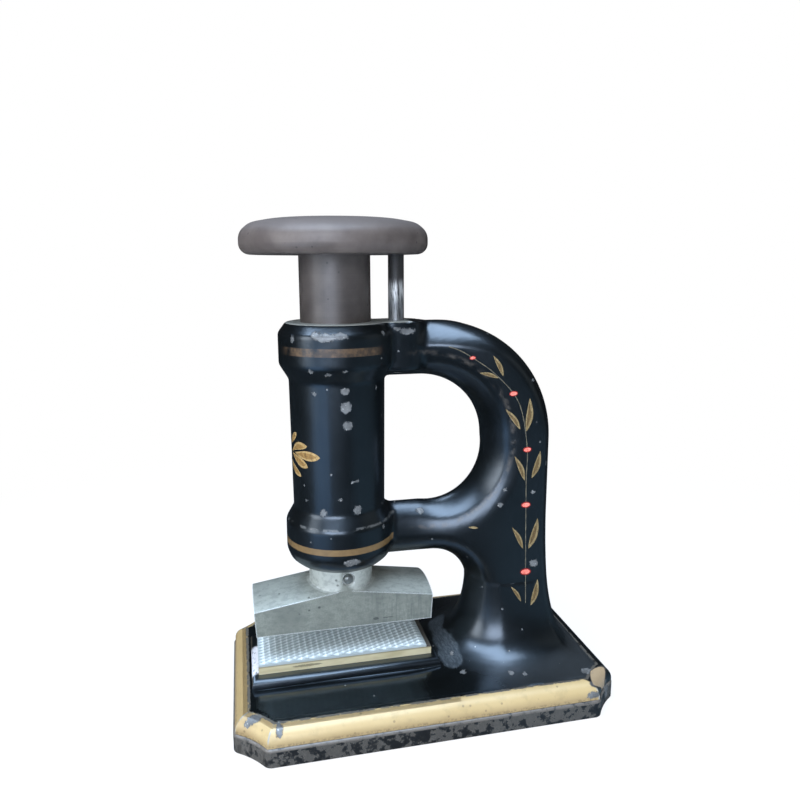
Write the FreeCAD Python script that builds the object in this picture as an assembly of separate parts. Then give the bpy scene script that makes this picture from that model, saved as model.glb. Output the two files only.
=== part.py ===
"""Desk check press: a knob-driven plunger closes a pair of waffle dies on a slip of paper.

Units are millimetres.  The origin is the middle of the base's underside, +X runs along the base
from the dies to the column, +Y runs away from the operator's side and +Z is up.  Heights are
stacked upwards from the table and distances along X are laid off from the plunger's axis.
Every piece is drawn at rest, with the plunger up against its stop.
"""
import FreeCAD
import Part
import math
import os

Vector = FreeCAD.Vector
UP = Vector(0, 0, 1)
INWARD = Vector(0, 1, 0)
ACROSS = Vector(1, 0, 0)

# ---- base plate -------------------------------------------------------------------------------
BASE_DEPTH = 83.0
LEFT_LAND = 6.8               # base beyond the left end of the die pad
RIGHT_OVERHANG = 18.2         # back of the column to the right end of the base
CORNER_LEG = 10.6             # length cut off each side at a corner
CORNER_SAG = 0.9              # how far the corner cut hollows in plan
PLINTH_TIP_ROUND = 3.2        # rounding in plan of the plinth's corner tips
PLINTH_HEIGHT = 6.4
PLINTH_EDGE_ROUND = 0.8
MOULDING_HEIGHT = 5.7
MOULDING_STEP = 0.6           # ledge between the plinth and the quarter-round
MOULDING_SINK = 0.2           # moulding starts this far under the plinth's rounded edge
MOULDING_ROUND = 5.05
RIM_WIDTH = 9.0               # solid rim left around the hollow underside
PLATE_THICKNESS = 6.1         # iron left over the hollow underside
HOLLOW_CORNER = 7.0

# ---- dies and head ----------------------------------------------------------------------------
DIE_HALF_LENGTH = 31.7
DIE_HALF_DEPTH = 12.6
DIE_THICKNESS = 0.8
DIE_DAYLIGHT = 10.3           # between the two die plates with the plunger up
DIE_CLOSED_GAP = 0.7          # between the two die plates with the plunger down, teeth in mesh
BED_THICKNESS = 2.9
BED_END_MARGIN = 1.8          # bed left bare at the column's end of the lower die
TONGUE_INSET = 2.2            # the die's tongue stands this far in from its edges
TONGUE_DEPTH = 1.6
PAD_END_MARGIN = 2.5          # pad beyond each end of the die bed
PAD_SIDE_MARGIN = 4.2
PAD_HEIGHT = 3.4
PAD_ROUND = 2.2
HEAD_END_MARGIN = 0.2         # head's underside beyond each end of the die bed
HEAD_END_FLARE = 1.0          # each end of the head leans out this much up to the crest's height
HEAD_SIDE_MARGIN = 0.25       # head's front and back faces beyond the neck
HEAD_END_HEIGHT = 9.35
HEAD_CREST_RISE = 5.0         # crest of the head above the top of its ends
HEAD_CROWN = 2.25             # front-to-back crown of the head's top
UPPER_DIE_END_INSET = 1.9     # upper die inside the head's ends
UPPER_DIE_SIDE_INSET = 2.1
UPPER_DIE_THICKNESS = 2.4
NECK_SHOWN = 8.15             # neck between the head's crest and the barrel's mouth
NECK_FLARE = 2.4              # how far the neck's root spreads on the head
NECK_ROUND = 3.0

# ---- plunger ----------------------------------------------------------------------------------
STEM_RADIUS = 12.3
NECK_INSET = 0.65             # the neck is this much thinner than the stem, on the radius
ROD_RADIUS = 5.0
ROD_IN_NECK = 24.0            # length of rod held in the head's neck
ROD_IN_KNOB = 5.5             # length of rod screwed into the knob above the stem
KNOB_RADIUS = 32.0
KNOB_CLEARANCE = 22.7         # knob's underside above the barrel's top
KNOB_WALL = 7.2               # upright part of the knob's rim, its rounded foot included
KNOB_RIM_ROUND = 3.6
KNOB_SHOULDER_INSET = 3.6     # the rim turns over to the dome this far in
KNOB_WALL_ROUND = 5.0
KNOB_SHOULDER_RISE = 3.1
KNOB_SHOULDER_ROUND = 6.0
KNOB_CROWN_INSET = 9.8
KNOB_CROWN_RISE = 1.2
KNOB_CROWN_ROUND = 30.0
KNOB_CAP_RISE = 1.1
KNOB_SOCKET_DEPTH = 3.0
GUIDE_RADIUS = 2.8
GUIDE_STANDOFF = 5.0          # guide rod's axis outside the barrel's plain wall
GUIDE_TIP_MARGIN = 1.0        # guide rod's tip stays this far up its bore at full stroke
GUIDE_IN_KNOB = 5.0

# ---- barrel and guide boss --------------------------------------------------------------------
BARREL_LENGTH = 87.4
BARREL_WALL = 4.3             # iron around the stem's bore
MOUTH_TAPER = 2.4             # the barrel's mouth is this much smaller, on the radius
LOWER_COLLAR_RISE = 2.75      # collars above the barrel's plain wall, on the radius
LOWER_COLLAR_START = 5.5      # full radius begins this far above the barrel's mouth
LOWER_COLLAR_END = 17.0
UPPER_COLLAR_RISE = 3.55
UPPER_COLLAR_START = 14.4     # full radius begins this far below the barrel's top
UPPER_COLLAR_END = 3.6
UPPER_FACE_RISE = 0.8
COLLAR_SHOULDER = 5.0         # height of the slope between a collar and the barrel
COLLAR_ROUND = 1.6
MOUTH_ROUND = 0.5
TOP_FACE_ROUND = 0.6
WEB_THICKNESS = 8.0           # partition that carries the bush and the spring
WEB_ABOVE_MOUTH = 16.0
SPRING_ROOM = 36.0            # web to the foot of the stem, for the spring and its washers
BOSS_WALL = 6.4               # iron around the guide rod's bore
BOSS_TOP_ROUND = 2.6

# ---- D-shaped arm and column ------------------------------------------------------------------
THROAT_LAND = 14.2            # right end of the die pad to the column's foot
COLUMN_WIDTH = 30.4
COLUMN_SPREAD_FRONT = 0.9     # how far the column's front spreads from the throat to the foot
COLUMN_SPREAD_BACK = 2.0      # how far the column's back spreads out at the foot
COLUMN_SPREAD_HEIGHT = 48.0   # the back spreads out below this height above the base
COLUMN_HALF_DEPTH = 12.9
ARM_OUTER_RADIUS = 44.5
ARM_HALF_DEPTH = 7.5
ARM_ROUND = 7.0
TOP_STRUT_HEIGHT = 19.0
LOWER_STRUT_HEIGHT = 18.2
LOWER_STRUT_LIFT = 0.6        # lower strut's underside above the barrel's mouth
GRIP_BACK_WIDTH = 22.4        # iron between the finger opening and the back of the arm
THROAT_RADIUS = 14.0
FOOT_ROUND = 6.4
STRUT_ROOT_ROUND = 2.4        # where the lower strut grows out of the barrel

# ---- spring, bush and small parts -------------------------------------------------------------
BUSH_WALL = 2.5
BUSH_FLANGE_INSET = 0.85      # bush flange inside the neck's radius
BUSH_FLANGE_THICKNESS = 1.5
BUFFER_THICKNESS = 1.5
BUFFER_INSET = 0.65           # buffer inside the neck's radius
WASHER_THICKNESS = 1.2
WASHER_INSET = 0.6            # spring washers inside the stem's radius
SPRING_WIRE_RADIUS = 0.9
SPRING_INSET = 2.1            # coil's mean radius inside the washers' edge
SPRING_TURNS = 9
HEAD_PIN_RADIUS = 1.8
HEAD_PIN_ABOVE_CREST = 4.1
HEAD_PIN_PROUD = 0.3
HEAD_PIN_ROUND = 0.6
HEAD_PIN_TURN = 6.0           # degrees that the cross pin is turned towards the column
STEM_PIN_RADIUS = 2.0
STEM_PIN_ABOVE_END = 6.0
STEM_PIN_BELOW_SURFACE = 0.4
GRUB_RADIUS = 2.0
GRUB_SINK = 0.6
SCREW_RADIUS = 2.0
SCREW_HEAD_RADIUS = 3.5
SCREW_HEAD_HEIGHT = 2.4
SCREW_SLOT_WIDTH = 0.9
SCREW_SLOT_DEPTH = 1.0
SCREW_SPACING = 40.0
SCREW_END_GAP = 0.2           # lower screws stop this far short of their holes' ends
COUNTERSINK_RADIUS = 3.6
COUNTERSINK_DEPTH = 1.6
UPPER_SCREW_LENGTH = 7.0
GUIDE_TIP_CHAMFER = 0.6

# ---- clearances, all on the radius ------------------------------------------------------------
RUNNING = 0.05
FIXED = 0.02
LOOSE = 0.35
OVERLAP = 1.0                 # how far a cut or a joined piece is run past its neighbour

# ---- lengths and radii worked out from the above ----------------------------------------------
PAD_HALF_LENGTH = DIE_HALF_LENGTH + PAD_END_MARGIN
PAD_HALF_DEPTH = DIE_HALF_DEPTH + PAD_SIDE_MARGIN
LEFT_OVERHANG = PAD_HALF_LENGTH + LEFT_LAND
COLUMN_REACH = PAD_HALF_LENGTH + THROAT_LAND
BACK_OF_COLUMN = COLUMN_REACH + COLUMN_WIDTH
BASE_LENGTH = LEFT_OVERHANG + BACK_OF_COLUMN + RIGHT_OVERHANG
AXIS_X = -BASE_LENGTH / 2 + LEFT_OVERHANG
NECK_RADIUS = STEM_RADIUS - NECK_INSET
HEAD_HALF_LENGTH = DIE_HALF_LENGTH + HEAD_END_MARGIN
HEAD_TOP_HALF_LENGTH = HEAD_HALF_LENGTH + HEAD_END_FLARE
HEAD_HALF_DEPTH = NECK_RADIUS + HEAD_SIDE_MARGIN
UPPER_DIE_HALF_LENGTH = HEAD_HALF_LENGTH - UPPER_DIE_END_INSET
UPPER_DIE_HALF_DEPTH = HEAD_HALF_DEPTH - UPPER_DIE_SIDE_INSET
BARREL_RADIUS = STEM_RADIUS + BARREL_WALL
BARREL_MOUTH_RADIUS = BARREL_RADIUS - MOUTH_TAPER
LOWER_COLLAR_RADIUS = BARREL_RADIUS + LOWER_COLLAR_RISE
UPPER_COLLAR_RADIUS = BARREL_RADIUS + UPPER_COLLAR_RISE
UPPER_FACE_RADIUS = BARREL_RADIUS + UPPER_FACE_RISE
GUIDE_OFFSET = BARREL_RADIUS + GUIDE_STANDOFF
BOSS_RADIUS = GUIDE_RADIUS + BOSS_WALL
BUSH_RADIUS = ROD_RADIUS + BUSH_WALL
BUSH_FLANGE_RADIUS = NECK_RADIUS - BUSH_FLANGE_INSET
BUFFER_RADIUS = NECK_RADIUS - BUFFER_INSET
WASHER_RADIUS = STEM_RADIUS - WASHER_INSET
SPRING_MEAN_RADIUS = WASHER_RADIUS - SPRING_INSET
GRIP_RADIUS = (BARREL_LENGTH - TOP_STRUT_HEIGHT - LOWER_STRUT_HEIGHT - LOWER_STRUT_LIFT) / 2
STROKE = DIE_DAYLIGHT - DIE_CLOSED_GAP

# ---- heights, stacked up from the table -------------------------------------------------------
BASE_TOP = PLINTH_HEIGHT + MOULDING_HEIGHT
HOLLOW_HEIGHT = BASE_TOP - PLATE_THICKNESS
PAD_TOP = BASE_TOP + PAD_HEIGHT
BED_TOP = PAD_TOP + BED_THICKNESS
LOWER_FACE = BED_TOP + DIE_THICKNESS
UPPER_FACE = LOWER_FACE + DIE_DAYLIGHT
HEAD_ENDS_TOP = UPPER_FACE + HEAD_END_HEIGHT
HEAD_CREST = HEAD_ENDS_TOP + HEAD_CREST_RISE
BARREL_MOUTH = HEAD_CREST + NECK_SHOWN
BARREL_TOP = BARREL_MOUTH + BARREL_LENGTH
WEB_BOTTOM = BARREL_MOUTH + WEB_ABOVE_MOUTH
WEB_TOP = WEB_BOTTOM + WEB_THICKNESS
BUSH_MIDDLE = (WEB_BOTTOM + WEB_TOP) / 2
NECK_TOP = WEB_BOTTOM - BUSH_FLANGE_THICKNESS - BUFFER_THICKNESS
STEM_BOTTOM = WEB_TOP + SPRING_ROOM
KNOB_BOTTOM = BARREL_TOP + KNOB_CLEARANCE
STEM_TOP = KNOB_BOTTOM + KNOB_SOCKET_DEPTH
ROD_BOTTOM = NECK_TOP - ROD_IN_NECK
ROD_TOP = STEM_TOP + ROD_IN_KNOB
BOSS_BOTTOM = BARREL_TOP - TOP_STRUT_HEIGHT
GUIDE_BOTTOM = BOSS_BOTTOM + STROKE + GUIDE_TIP_MARGIN
GRIP_CENTRE = Vector(BACK_OF_COLUMN - GRIP_BACK_WIDTH - GRIP_RADIUS, 0, BOSS_BOTTOM - GRIP_RADIUS)
ARM_CENTRE = Vector(BACK_OF_COLUMN - ARM_OUTER_RADIUS, 0, BARREL_TOP - ARM_OUTER_RADIUS)


# ---- helpers ----------------------------------------------------------------------------------
def from_axis(along, height=0.0, depth=0.0):
    """Point given by its distance from the plunger axis."""
    return Vector(AXIS_X + along, depth, height)


def rod(radius, low, high, along=0.0):
    """Upright cylinder between two heights."""
    return Part.makeCylinder(radius, high - low, from_axis(along, low), UP)


def ring(outer, inner, low, high, along=0.0):
    """Upright tube or washer between two heights."""
    return rod(outer, low, high, along).cut(rod(inner, low - OVERLAP, high + OVERLAP, along))


def slab(half_length, half_depth, low, high, centre=0.0):
    """Rectangular block centred on the dies."""
    corner = Vector(AXIS_X + centre - half_length, -half_depth, low)
    return Part.makeBox(2 * half_length, 2 * half_depth, high - low, corner)


def rounded_wire(corners):
    """Closed wire through (point, radius) corners, each radius drawn as a tangent arc."""
    runs = []
    for index, (corner, radius) in enumerate(corners):
        before = (corners[index - 1][0] - corner).normalize()
        after = (corners[(index + 1) % len(corners)][0] - corner).normalize()
        if radius == 0:
            runs.append((corner, None, corner))
            continue
        half_turn = before.getAngle(after) / 2
        reach = radius / math.tan(half_turn)
        bisector = (before + after).normalize()
        middle = corner + bisector * (radius / math.sin(half_turn) - radius)
        runs.append((corner + before * reach, middle, corner + after * reach))
    edges = []
    for index, (start, middle, end) in enumerate(runs):
        if middle is not None:
            edges.append(Part.Arc(start, middle, end).toShape())
        following = runs[(index + 1) % len(runs)][0]
        if end.distanceToPoint(following) > 1e-6:
            edges.append(Part.LineSegment(end, following).toShape())
    return Part.Wire(edges)


def turned(corners):
    """Solid of revolution about the plunger axis from (radius, height, rounding) corners."""
    wire = rounded_wire([(from_axis(r, z), rounding) for r, z, rounding in corners])
    return Part.Face(wire).revolve(from_axis(0), UP, 360)


def arc_end(centre, radius, degrees):
    """Point on an arc in the XZ plane, with its angle counted from +X towards +Z."""
    angle = math.radians(degrees)
    return centre + Vector(radius * math.cos(angle), 0, radius * math.sin(angle))


def line(start, end):
    return Part.LineSegment(start, end).toShape()


def edges_where(shape, test):
    return [edge for edge in shape.Edges if test(edge, edge.BoundBox)]


def is_flat_at(box, height):
    return abs(box.ZMin - height) < 1e-4 and abs(box.ZMax - height) < 1e-4


# ---- frame casting ----------------------------------------------------------------------------
def base_outline(inset, height):
    """Base outline with hollowed corner cuts, moved in from the plinth's edge by an inset."""
    half_x = BASE_LENGTH / 2 - inset
    half_y = BASE_DEPTH / 2 - inset
    leg = CORNER_LEG - inset * (2 - math.sqrt(2))
    dip = CORNER_SAG / math.sqrt(2)
    edges = []
    turns = [(1, -1), (1, 1), (-1, 1), (-1, -1)]
    for index, (sx, sy) in enumerate(turns):
        on_long = Vector(sx * (half_x - leg), sy * half_y, height)
        on_short = Vector(sx * half_x, sy * (half_y - leg), height)
        middle = (on_long + on_short) / 2 - Vector(sx * dip, sy * dip, 0)
        first, last = (on_long, on_short) if sx * sy < 0 else (on_short, on_long)
        edges.append(Part.Arc(first, middle, last).toShape())
        next_x, next_y = turns[(index + 1) % 4]
        if next_x == sx:
            following = Vector(next_x * half_x, next_y * (half_y - leg), height)
        else:
            following = Vector(next_x * (half_x - leg), next_y * half_y, height)
        edges.append(line(last, following))
    return Part.Wire(edges)


def base_plate():
    plinth = Part.Face(base_outline(0, 0)).extrude(UP * PLINTH_HEIGHT)
    tips = edges_where(plinth, lambda edge, box: box.ZMax - box.ZMin > PLINTH_HEIGHT / 2)
    plinth = plinth.makeFillet(PLINTH_TIP_ROUND, tips)
    top_edges = edges_where(plinth, lambda edge, box: is_flat_at(box, PLINTH_HEIGHT))
    plinth = plinth.makeFillet(PLINTH_EDGE_ROUND, top_edges)
    lower = PLINTH_HEIGHT - PLINTH_EDGE_ROUND - MOULDING_SINK
    outline = base_outline(MOULDING_STEP, lower)
    moulding = Part.Face(outline).extrude(UP * (BASE_TOP - lower))
    top_edges = edges_where(moulding, lambda edge, box: is_flat_at(box, BASE_TOP))
    moulding = moulding.makeFillet(MOULDING_ROUND, top_edges)
    return plinth.fuse(moulding)


def base_hollow():
    """Recess under the base that lightens the casting and hides the screw heads."""
    half_x = BASE_LENGTH / 2 - RIM_WIDTH
    half_y = BASE_DEPTH / 2 - RIM_WIDTH
    corners = [(Vector(sx * half_x, sy * half_y, -OVERLAP), HOLLOW_CORNER)
               for sx, sy in ((1, 1), (-1, 1), (-1, -1), (1, -1))]
    return Part.Face(rounded_wire(corners)).extrude(UP * (HOLLOW_HEIGHT + OVERLAP))


def spread(top, foot):
    """Shallow arc that leaves its top point straight down and ends at the foot point."""
    drop = top.z - foot.z
    aside = foot.x - top.x
    radius = (drop ** 2 + aside ** 2) / (2 * aside)
    half_turn = math.asin(drop / radius) / 2
    middle = top + Vector(radius * (1 - math.cos(half_turn)), 0, -abs(radius * math.sin(half_turn)))
    return Part.Arc(top, middle, foot).toShape()


def arm_outline():
    """Side view of the arm and column, closed inside the barrel."""
    underside = BARREL_MOUTH + LOWER_STRUT_LIFT
    throat = Vector(COLUMN_REACH + COLUMN_SPREAD_FRONT - THROAT_RADIUS, 0, underside - THROAT_RADIUS)
    outer_top, outer_mid, outer_back = (arc_end(ARM_CENTRE, ARM_OUTER_RADIUS, a) for a in (90, 45, 0))
    throat_back, throat_mid, throat_top = (arc_end(throat, THROAT_RADIUS, a) for a in (0, 45, 90))
    spread_start = Vector(BACK_OF_COLUMN, 0, BASE_TOP + COLUMN_SPREAD_HEIGHT)
    back_foot = Vector(BACK_OF_COLUMN + COLUMN_SPREAD_BACK, 0, PLINTH_HEIGHT)
    front_foot = Vector(COLUMN_REACH, 0, PLINTH_HEIGHT)
    start = Vector(0, 0, BARREL_TOP)
    inside = Vector(0, 0, underside)
    runs = [line(start, outer_top), Part.Arc(outer_top, outer_mid, outer_back).toShape(),
            line(outer_back, spread_start), spread(spread_start, back_foot),
            line(back_foot, front_foot), spread(throat_back, front_foot),
            Part.Arc(throat_back, throat_mid, throat_top).toShape(),
            line(throat_top, inside), line(inside, start)]
    return Part.Face(Part.Wire(runs))


def grip_outline():
    """Side view of the D-shaped finger opening, run back to the plunger axis."""
    top, middle, bottom = (arc_end(GRIP_CENTRE, GRIP_RADIUS, a) for a in (90, 0, -90))
    over, under = Vector(0, 0, top.z), Vector(0, 0, bottom.z)
    runs = [Part.Arc(bottom, middle, top).toShape(), line(top, over), line(over, under),
            line(under, bottom)]
    return Part.Face(Part.Wire(runs))


def arm_plan():
    """Plan view of the arm, which thickens from the barrel towards the column."""
    reach = BACK_OF_COLUMN + 2 * COLUMN_SPREAD_BACK
    swell = COLUMN_HALF_DEPTH - ARM_HALF_DEPTH
    stations = [(0.0, 0.0), (0.2, 0.0), (0.35, 0.08), (0.52, 0.6), (0.68, 0.94), (0.82, 1.0), (1.0, 0.95)]
    side = [Vector(reach * share, ARM_HALF_DEPTH + swell * rise, 0) for share, rise in stations]
    other = [Vector(point.x, -point.y, 0) for point in side]
    curves = []
    for points in (side, other):
        curve = Part.BSplineCurve()
        curve.interpolate(points)
        curves.append(curve.toShape())
    runs = [curves[0], line(side[-1], other[-1]), curves[1], line(other[0], side[0])]
    return Part.Face(Part.Wire(Part.__sortEdges__(runs)))


def arm_and_column():
    side_view = arm_outline().cut(grip_outline())
    depth = 3 * COLUMN_HALF_DEPTH
    block = side_view.extrude(INWARD * 2 * depth)
    block.translate(INWARD * -depth)
    arm = block.common(arm_plan().extrude(UP * (BARREL_TOP + 1))).Solids[0]

    def runs_along_a_side(edge, box):
        off_centre = box.YMin > 1 or box.YMax < -1
        return off_centre and box.XMax > 1 and box.ZMax > PLINTH_HEIGHT + 0.01

    rounding = min(ARM_ROUND, ARM_HALF_DEPTH - 0.4)
    arm = arm.makeFillet(rounding, edges_where(arm, runs_along_a_side))
    arm.translate(Vector(AXIS_X, 0, 0))
    return arm


def barrel():
    """Barrel with a collar at each end."""
    low = BARREL_MOUTH + LOWER_COLLAR_START
    low_end = BARREL_MOUTH + LOWER_COLLAR_END
    high = BARREL_TOP - UPPER_COLLAR_START
    high_end = BARREL_TOP - UPPER_COLLAR_END
    return turned([
        (0, BARREL_MOUTH, 0),
        (BARREL_MOUTH_RADIUS, BARREL_MOUTH, MOUTH_ROUND),
        (LOWER_COLLAR_RADIUS, low, 2 * COLLAR_ROUND),
        (LOWER_COLLAR_RADIUS, low_end, COLLAR_ROUND),
        (BARREL_RADIUS, low_end + COLLAR_SHOULDER, 2 * COLLAR_ROUND),
        (BARREL_RADIUS, high - COLLAR_SHOULDER, 2 * COLLAR_ROUND),
        (UPPER_COLLAR_RADIUS, high, COLLAR_ROUND),
        (UPPER_COLLAR_RADIUS, high_end, COLLAR_ROUND),
        (UPPER_FACE_RADIUS, BARREL_TOP, TOP_FACE_ROUND),
        (0, BARREL_TOP, 0),
    ])


def die_pad():
    """Raised pad on the base that carries the lower die."""
    pad = slab(PAD_HALF_LENGTH, PAD_HALF_DEPTH, PLINTH_HEIGHT, PAD_TOP)
    top_edges = edges_where(pad, lambda edge, box: is_flat_at(box, PAD_TOP))
    return pad.makeFillet(PAD_ROUND, top_edges)


def guide_boss():
    """Boss between the upper collar and the arm, bored for the guide rod."""
    boss = rod(BOSS_RADIUS, BOSS_BOTTOM, BARREL_TOP, GUIDE_OFFSET)
    rim = edges_where(boss, lambda edge, box: is_flat_at(box, BARREL_TOP))
    return boss.makeFillet(BOSS_TOP_ROUND, rim)


def strut_root_edges(casting):
    """Edges where the lower strut grows out of the barrel."""
    def on_barrel(edge, box):
        if box.YMax - box.YMin < 1e-3 and abs(box.YMax) < 1e-3:
            return False
        span = edge.LastParameter - edge.FirstParameter
        points = [edge.valueAt(edge.FirstParameter + span * share) for share in (0.1, 0.5, 0.9)]
        reaches = [math.hypot(point.x - AXIS_X, point.y) for point in points]
        return (BARREL_RADIUS - 0.1 < min(reaches) and max(reaches) < UPPER_COLLAR_RADIUS
                and box.XMin > AXIS_X and abs(box.YMin + box.YMax) < 2 * ARM_HALF_DEPTH + 0.5
                and box.ZMin > BARREL_MOUTH - 1 and box.ZMax < BOSS_BOTTOM - GRIP_RADIUS)
    return edges_where(casting, on_barrel)


def frame_casting():
    """Base, column, arm, barrel and guide boss in one iron casting."""
    foot = base_plate().fuse(arm_and_column())
    around_column = edges_where(foot, lambda edge, box: is_flat_at(box, BASE_TOP)
                                and box.XMin > AXIS_X + COLUMN_REACH - 8
                                and box.XMax < BASE_LENGTH / 2 - MOULDING_ROUND - MOULDING_STEP - 0.5)
    foot = foot.makeFillet(FOOT_ROUND, around_column)
    casting = foot.fuse([barrel(), guide_boss(), die_pad()]).removeSplitter()
    casting = casting.makeFillet(STRUT_ROOT_ROUND, strut_root_edges(casting))
    above = BARREL_TOP + OVERLAP
    bores = [
        rod(NECK_RADIUS + LOOSE, BARREL_MOUTH - OVERLAP, WEB_BOTTOM),
        rod(BUSH_RADIUS + FIXED, WEB_BOTTOM - OVERLAP, WEB_TOP + OVERLAP),
        rod(STEM_RADIUS + RUNNING, WEB_TOP, above),
        rod(GUIDE_RADIUS + RUNNING, BOSS_BOTTOM - OVERLAP, above, GUIDE_OFFSET),
        grub_hole(),
        base_hollow(),
    ]
    bores += [rod(SCREW_RADIUS + FIXED, 0, PAD_TOP + OVERLAP, along) for along in screw_places()]
    return casting.cut(bores)


# ---- bush, spring and stops -------------------------------------------------------------------
def grub_hole():
    start = from_axis(0, BUSH_MIDDLE, BUSH_RADIUS - OVERLAP)
    return Part.makeCylinder(GRUB_RADIUS + FIXED, UPPER_COLLAR_RADIUS, start, INWARD)


def bush_set_screw():
    """Slotted grub screw that locks the bush, let into the barrel's far side."""
    start = BUSH_RADIUS + FIXED
    end = BARREL_RADIUS - GRUB_SINK
    grub = Part.makeCylinder(GRUB_RADIUS, end - start, from_axis(0, BUSH_MIDDLE, start), INWARD)
    slot = Part.makeBox(2 * GRUB_RADIUS, SCREW_SLOT_DEPTH, SCREW_SLOT_WIDTH,
                        from_axis(-GRUB_RADIUS, BUSH_MIDDLE - SCREW_SLOT_WIDTH / 2,
                                  end - SCREW_SLOT_DEPTH))
    return grub.cut(slot)


def plunger_bush():
    """Bronze bush in the barrel's web, with a flange that takes the return blow."""
    bore = ROD_RADIUS + RUNNING
    shank = ring(BUSH_RADIUS, bore, WEB_BOTTOM - BUSH_FLANGE_THICKNESS, WEB_TOP)
    flange = ring(BUSH_FLANGE_RADIUS, bore, WEB_BOTTOM - BUSH_FLANGE_THICKNESS, WEB_BOTTOM)
    return shank.fuse(flange).removeSplitter()


def lower_spring_washer():
    return ring(WASHER_RADIUS, ROD_RADIUS + LOOSE, WEB_TOP, WEB_TOP + WASHER_THICKNESS)


def upper_spring_washer():
    return ring(WASHER_RADIUS, ROD_RADIUS + FIXED, STEM_BOTTOM - WASHER_THICKNESS, STEM_BOTTOM)


def return_spring():
    """Helical spring between the two washers."""
    low = WEB_TOP + WASHER_THICKNESS + SPRING_WIRE_RADIUS
    high = STEM_BOTTOM - WASHER_THICKNESS - SPRING_WIRE_RADIUS
    path = Part.makeHelix((high - low) / SPRING_TURNS, high - low, SPRING_MEAN_RADIUS)
    section = Part.makeCircle(SPRING_WIRE_RADIUS, Vector(SPRING_MEAN_RADIUS, 0, 0), INWARD)
    spring = Part.Wire(path).makePipeShell([Part.Wire(section)], True, True)
    spring.translate(from_axis(0, low))
    return Part.Solid(spring) if spring.ShapeType == "Shell" else spring


def return_buffer():
    """Leather washer on the neck that softens the plunger's return."""
    return ring(BUFFER_RADIUS, ROD_RADIUS + FIXED, NECK_TOP, NECK_TOP + BUFFER_THICKNESS)


# ---- dies -------------------------------------------------------------------------------------
def screw_places():
    return [-SCREW_SPACING / 2, SCREW_SPACING / 2]


def lower_die_centre():
    return -BED_END_MARGIN / 2


def tongue(growth):
    """Tongue under the lower die, or with growth the pocket that takes it."""
    return slab(DIE_HALF_LENGTH - BED_END_MARGIN / 2 - TONGUE_INSET + growth,
                DIE_HALF_DEPTH - TONGUE_INSET + growth,
                BED_TOP - TONGUE_DEPTH, LOWER_FACE - growth, lower_die_centre())


def die_bed():
    """Brass tray screwed to the pad under the lower die."""
    bed = slab(DIE_HALF_LENGTH, DIE_HALF_DEPTH, PAD_TOP, BED_TOP)
    holes = [rod(SCREW_RADIUS + FIXED, PAD_TOP - OVERLAP, BED_TOP, along) for along in screw_places()]
    return bed.cut([tongue(FIXED)] + holes)


def lower_die():
    """Steel die plate, drawn at the roots of its waffle teeth, with a locating tongue."""
    half_length = DIE_HALF_LENGTH - BED_END_MARGIN / 2
    plate = slab(half_length, DIE_HALF_DEPTH, BED_TOP, LOWER_FACE, lower_die_centre())
    foot = BED_TOP - TONGUE_DEPTH - OVERLAP
    tapped = [rod(SCREW_RADIUS + FIXED, foot, BED_TOP, along) for along in screw_places()]
    return plate.fuse(tongue(0)).removeSplitter().cut(tapped)


def lower_die_screws():
    """Slotted screws driven up from the hollow underside into the lower die."""
    screws = []
    for along in screw_places():
        under = HOLLOW_HEIGHT - SCREW_HEAD_HEIGHT
        shank = rod(SCREW_RADIUS, under, BED_TOP - SCREW_END_GAP, along)
        head = rod(SCREW_HEAD_RADIUS, under, HOLLOW_HEIGHT, along)
        slot = slab(SCREW_HEAD_RADIUS, SCREW_SLOT_WIDTH / 2, under, under + SCREW_SLOT_DEPTH, along)
        screws.append(shank.fuse(head).removeSplitter().cut(slot))
    return Part.makeCompound(screws)


def upper_die_pocket(growth):
    return slab(UPPER_DIE_HALF_LENGTH + growth, UPPER_DIE_HALF_DEPTH + growth,
                UPPER_FACE - growth, UPPER_FACE + UPPER_DIE_THICKNESS)


def countersunk_screw(along, growth):
    """Countersunk screw with its head flush in the upper die, or with growth its hole."""
    radius = SCREW_RADIUS + growth
    cone = Part.makeCone(COUNTERSINK_RADIUS + growth, radius, COUNTERSINK_DEPTH,
                         from_axis(along, UPPER_FACE), UP)
    shank = rod(radius, UPPER_FACE, UPPER_FACE + UPPER_SCREW_LENGTH + growth, along)
    return cone.fuse(shank).removeSplitter()


def upper_die():
    """Steel die plate let into the head, drawn at the roots of its waffle teeth."""
    plate = upper_die_pocket(0)
    return plate.cut([countersunk_screw(along, FIXED) for along in screw_places()])


def upper_die_screws():
    screws = []
    for along in screw_places():
        slot = slab(COUNTERSINK_RADIUS, SCREW_SLOT_WIDTH / 2, UPPER_FACE,
                    UPPER_FACE + SCREW_SLOT_DEPTH, along)
        screws.append(countersunk_screw(along, 0).cut(slot))
    return Part.makeCompound(screws)


# ---- head -------------------------------------------------------------------------------------
def head_block():
    """Die head: ends lean out, and the top rises to a crest and is crowned front to back."""
    corners = [from_axis(-HEAD_HALF_LENGTH, UPPER_FACE), from_axis(HEAD_HALF_LENGTH, UPPER_FACE),
               from_axis(HEAD_TOP_HALF_LENGTH, HEAD_CREST + HEAD_CROWN),
               from_axis(-HEAD_TOP_HALF_LENGTH, HEAD_CREST + HEAD_CROWN)]
    block = Part.Face(Part.makePolygon(corners + corners[:1])).extrude(INWARD * 2 * HEAD_HALF_DEPTH)
    block.translate(INWARD * -HEAD_HALF_DEPTH)
    return block.common(crowned_ridge())


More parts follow.
